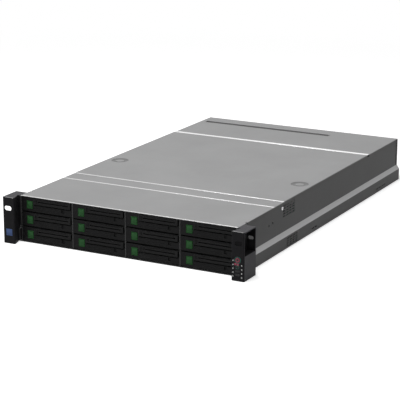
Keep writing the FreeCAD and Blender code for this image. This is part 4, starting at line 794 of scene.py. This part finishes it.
# Dark strips of painted shade in the gaps at the rear panel and beside the joggle.
for name, side in (("left", -1), ("right", 1)):
    gap = Form()
    thick = sorted((side * (WALL_FACE - 0.3), side * (WALL_FACE + 0.25)))
    gap.block(thick, (704.0, 711.9), (31.2, 84.2), BEZEL_BLACK, 0.1)
    gap.block(thick, (548.5, 557.0), (81.8, 85.6), BEZEL_BLACK, 0.1)
    show(f"wall_gap_shade_{name}", gap, "case")
print("hems ready")

# %% [markdown]
# ## Finger dimples
# The two dimples in the main cover are pressed as shallow bowls round a raised boss. Turned
# sections follow the well in the cover, and the darker tone of the bowl is painted shade in
# the hollow.

# %% Bowls in the cover's wells
BOSS = [(0.0, 85.7), (6.2, 85.7), (7.6, 85.3), (7.6, 84.75), (0.0, 84.75)]
BOWL = [(0.0, 85.2), (7.8, 85.2), (9.4, 84.85), (12.0, 84.8), (14.5, 85.1), (16.3, 85.95),
        (16.9, 86.08), (16.9, 84.72), (0.0, 84.72)]
for side, x in (("left", -192.0), ("right", 192.0)):
    bowl = Form()
    bowl.lathe((x, 283.0), BOSS, "Z", COVER_STEEL)
    bowl.lathe((x, 283.0), BOWL, "Z", SHADED_STEEL)
    show(f"finger_bowl_{side}", bowl, "lid")
print("two bowls")

# %% [markdown]
# ## Screws
# A pan head is a turned form whose inner rings pull in between the arms of a cross.


# %% Screw heads with cross recesses
def cross_head(form, centre, radius, low, high, along, finish):
    """A pan head between two levels, its crown at the second, with a cross recess."""
    sides = 48
    rings = []
    for share, level, cross in ((1.0, 0.0, 0.0), (1.0, 0.35, 0.0), (0.9, 0.75, 0.0),
                                (0.68, 0.97, 0.0), (0.55, 1.0, 0.62), (0.48, 0.2, 0.62)):
        ring = []
        for i in range(sides):
            turn = 2 * math.pi * i / sides
            arms = 1.0 - cross * (1.0 - abs(math.cos(2 * turn)) ** 4)
            ring.append(form.mesh.verts.new(along_axis(
                along, centre[0] + radius * share * arms * math.cos(turn),
                centre[1] + radius * share * arms * math.sin(turn), low + (high - low) * level)))
        rings.append(ring)
    faces = [form.mesh.faces.new((a[i], a[(i + 1) % sides], b[(i + 1) % sides], b[i]))
             for a, b in zip(rings, rings[1:]) for i in range(sides)]
    faces.append(form.mesh.faces.new(rings[0]))
    faces.append(form.mesh.faces.new(rings[-1]))
    bmesh.ops.recalc_face_normals(form.mesh, faces=faces)
    form.wear(faces, finish)


HEAD_RADIUS = 3.2
HEAD_RISE = 1.58
REAR_FACE = 712.0
heads = Form()
for side in (1, -1):
    cross_head(heads, (152.0, 75.5), HEAD_RADIUS, side * WALL_FACE, side * (WALL_FACE + HEAD_RISE),
               "X", SCREW_ZINC)
for x in (-207.8, 133.3):
    cross_head(heads, (x, 79.4), HEAD_RADIUS, REAR_FACE, REAR_FACE + HEAD_RISE, "Y", SCREW_ZINC)
show("screw_heads", heads, "case", ["screws"])
print("four screws")

# %% [markdown]
# ## Power supplies
# The solids of the supplies stay. What is added sits inside their hollows: a still fan
# behind each grille, the mains inlet's insulating insert and a small lamp.


# %% Inside the supplies' openings
def supply_insides(low):
    """Fan face, inlet collar and lamp of the supply whose underside is at the level given."""
    form = Form()
    fan = (158.9, low + 19.6)
    form.lathe(fan, [(0.0, 710.62), (14.6, 710.62), (14.6, 710.75), (0.0, 710.75)], "Y", KEY_BLACK, 36)
    form.lathe(fan, [(0.0, 711.1), (5.0, 711.1), (5.4, 710.9), (5.4, 710.65)], "Y", FAN_BLACK, 28)
    for i in range(9):
        turn = 2 * math.pi * i / 9
        blade = []
        for radius, lean in ((5.0, 0.0), (14.2, 0.28), (14.2, 0.62), (5.0, 0.5)):
            blade.append((fan[0] + radius * math.cos(turn + lean),
                          fan[1] + radius * math.sin(turn + lean)))
        form.prism(blade, 710.7, 711.05, "Y", FAN_BLACK)
    left, right, bottom, top = 181.4, 208.4, low + 5.6, low + 25.6
    for x in (left, right - 1.2):
        form.block((x + 0.02, x + 1.18), (706.0, 713.5), (bottom + 0.02, top - 0.02), KEY_BLACK, 0.2)
    for z in (bottom, top - 1.2):
        form.block((left + 1.2, right - 1.2), (706.0, 713.5), (z + 0.02, z + 1.18), KEY_BLACK, 0.2)
    form.rod((183.6, low + 33.4), 1.4, 713.2, 713.9, "Y", LENS_GREEN, 0.3, sides=20)
    return form


for number in (1, 2):
    floor_level = span(f"psu_{number}")[0][2]
    show(f"supply_{number}_insides", supply_insides(floor_level), f"supply_{number}")
print("supplies dressed")

# %% [markdown]
# ## The board's small parts
# With the main cover lifted the board shows ahead of the heat sinks and behind them. A
# seeded scatter of capacitors, chips and connectors fills it, kept clear of each other.

# %% Parts on the board
dice = random.Random(11)
board_top = 11.2
parts = Form()
taken = []


def free_places(count, wide, deep, room_x, room_y):
    """Seeded places that touch none of the earlier ones; one is left out after 60 tries."""
    for _ in range(count):
        for _ in range(60):
            x = dice.uniform(room_x[0], room_x[1] - wide)
            y = dice.uniform(room_y[0], room_y[1] - deep)
            if all(x > b or x + wide < a or y > d or y + deep < c for a, b, c, d in taken):
                taken.append((x - 1, x + wide + 1, y - 1, y + deep + 1))
                yield x, y
                break


BARE_BOARD = [((-200.0, 122.0), (452.0, 488.0)), ((-200.0, 122.0), (504.0, 684.0)),
              ((-200.0, 200.0), (242.0, 298.0))]
for room_x, room_y in BARE_BOARD:
    for x, y in free_places(6, 22, 22, room_x, room_y):
        parts.block((x, x + 22), (y, y + 22), (board_top, board_top + 1.6), KEY_BLACK, 0.3)
        parts.block((x + 3, x + 19), (y + 3, y + 19), (board_top + 1.5, board_top + 2.4),
                    SCREW_ZINC, 0.2)
    for x, y in free_places(5, 44, 7, room_x, room_y):
        parts.block((x, x + 44), (y, y + 7), (board_top, board_top + 9), PART_CREAM, 0.5)
        parts.block((x + 2, x + 42), (y + 2, y + 5), (board_top + 8.6, board_top + 9.2),
                    KEY_BLACK, 0.1)
    for x, y in free_places(26, 9, 9, room_x, room_y):
        tall = dice.choice((9.0, 11.0, 13.0))
        can = [(0.0, board_top), (4.0, board_top), (4.0, board_top + tall - 0.6),
               (3.4, board_top + tall), (0.0, board_top + tall)]
        parts.lathe((x + 4.5, y + 4.5), can, "Z", SCREW_ZINC, 18)
    for x, y in free_places(30, 7, 4, room_x, room_y):
        parts.block((x, x + 7), (y, y + 4), (board_top, board_top + 2), PART_CREAM, 0.3)
show("board_parts", parts, "case")
print("board parts", len(taken))

# %% [markdown]
# ## Memory chips and ports
# Each module carries a row of chips on both faces. Inside the shells at the rear, the
# network ports have a dark tongue with gold contacts, and the others have a blue insert.

# %% Chips and contacts
chips = Form()
module_low = span("memory_modules")[0]
MODULE_MIDDLES = [side * 92 + turn * (46 + 8 + 3.1 + 9.4 * i)
                  for side in (-1, 1) for turn in (-1, 1) for i in range(4)]
for middle in MODULE_MIDDLES:
    for face in (-1, 1):
        inner, outer = sorted((middle + face * 0.8, middle + face * 1.6))
        for i in range(8):
            y = module_low[1] + 6 + 15.6 * i
            chips.block((inner, outer), (y, y + 11), (module_low[2] + 12, module_low[2] + 24),
                        KEY_BLACK, 0.15)
show("memory_chips", chips, "case")

contacts = Form()
PORTS_LEFT = -76.0
PORT_STEP = 18.3
port_low = 15.2
for step in (0, 1, 6):
    left = PORTS_LEFT + PORT_STEP * step
    contacts.block((left + 2.2, left + 13.8), (697.2, 709.0),
                   (port_low + 1.0, port_low + 3.2), KEY_BLACK, 0.3)
    for i in range(8):
        x = left + 3.4 + 1.2 * i
        contacts.block((x, x + 0.5), (699.0, 708.6), (port_low + 3.1, port_low + 3.6), PIN_GOLD)
for step in (2, 3):
    left = PORTS_LEFT + PORT_STEP * step
    contacts.block((left + 2.4, left + 12.2), (697.2, 710.5), (port_low + 2.6, port_low + 4.4),
                   PORT_BLUE, 0.2)
left = PORTS_LEFT + PORT_STEP * 4
contacts.block((left + 5.0, left + 26.0), (697.2, 712.0), (port_low + 2.0, port_low + 9.4),
               PORT_BLUE, 0.8)
for row in range(3):
    for i in range(5):
        contacts.rod((left + 8.6 + 3.4 * i + 0.9 * (row % 2), port_low + 3.6 + 2.1 * row), 0.45,
                     711.9, 712.1, "Y", KEY_BLACK, sides=12)
show("port_contacts", contacts, "case")
print("ports and", len(MODULE_MIDDLES), "modules")

# %% [markdown]
# ## The studio's surround
# A white surround makes a plain studio. The camera and the reflections see it white, and the
# rays that light the object see it darker, so that the lamps decide which sides are bright.


# %% Surround
def shown_rays(graph):
    """1 for the rays that show the studio: from the camera, off gloss and through glass."""
    path = graph.add("ShaderNodeLightPath", {}, {})
    total = path.of("Is Camera Ray")
    for ray in ("Is Glossy Ray", "Is Transmission Ray"):
        total = total.maths("MAXIMUM", total, path.of(ray))
    return total


AMBIENT = 0.10
world = bpy.data.worlds.new("surround")
bpy.context.scene.world = world
world.use_nodes = True
sky = Graph(world.node_tree)
strength = sky.add("ShaderNodeMapRange", {}, {
    "Value": shown_rays(sky), "To Min": AMBIENT, "To Max": 1.0})
surround = sky.add("ShaderNodeBackground", {}, {"Color": (1.0, 1.0, 1.0), "Strength": strength})
sky.add("ShaderNodeOutputWorld", {}, {"Surface": surround})
print("surround lights with", AMBIENT)

# %% [markdown]
# ## Floor
# The floor is pale near the object, where it takes the shadow, and runs out into plain white,
# so that no horizon shows. The same split of rays keeps its own light off the object.

# %% Floor
ground = Finish("studio_floor", Specular_IOR_Level=0.0, Roughness=0.9, Emission_Strength=1.0)
shown = shown_rays(ground)
distance = ground.add("ShaderNodeVectorMath", {"operation": "LENGTH"},
                      {"Vector": ground.where()}).of("Value")
far = distance.between(0.9, 2.4) * shown
near_tone = ground.blend(shown, (0.12, 0.12, 0.12), (0.97, 0.97, 0.97))
near_glow = ground.blend(shown, (0.0, 0.0, 0.0), (0.56, 0.56, 0.56))
ground.set(Base_Color=ground.blend(far, near_tone, (0.0, 0.0, 0.0)),
           Emission_Color=ground.blend(far, near_glow, (1.0, 1.0, 1.0)))
FLOOR_HALF = 12.0
floor_mesh = bpy.data.meshes.new("floor")
floor_mesh.from_pydata([(x * FLOOR_HALF, y * FLOOR_HALF, 0.0)
                        for x, y in ((-1, -1), (1, -1), (1, 1), (-1, 1))], [], [(0, 1, 2, 3)])
floor_mesh.materials.append(ground.material)
floor = bpy.data.objects.new("floor", floor_mesh)
floor.location.z = CAD_BOX[0][2] - 0.0002
bpy.context.scene.collection.objects.link(floor)
print("floor at", round(floor.location.z, 4))

# %% [markdown]
# ## Lamps
# One large lamp overhead makes the top bright and the shadow soft, and a weaker one ahead
# keeps the front readable. Each is given by how bright it makes a face that looks at it.


# %% Lamps
def lamp(name, level, size, place, target):
    """A square soft lamp; level 1 lights a face that looks straight at it to its own colour."""
    light = bpy.data.lights.new(name, "AREA")
    aim = Vector(target) - Vector(place)
    light.energy = level * math.pi ** 2 * aim.length_squared
    light.size = size
    holder = bpy.data.objects.new(name, light)
    bpy.context.scene.collection.objects.link(holder)
    holder.location = place
    holder.rotation_euler = aim.to_track_quat("-Z", "Y").to_euler()
    print(name, round(light.energy, 1), "W")


lamp("overhead", 0.80, 1.4, (-0.25, -0.2, 2.8), (0.0, 0.35, 0.05))
lamp("front", 0.12, 0.9, (-0.2, -3.2, 0.9), (0.0, 0.0, 0.05))

# %% Sizes and the end
print("cad box", CAD_BOX)
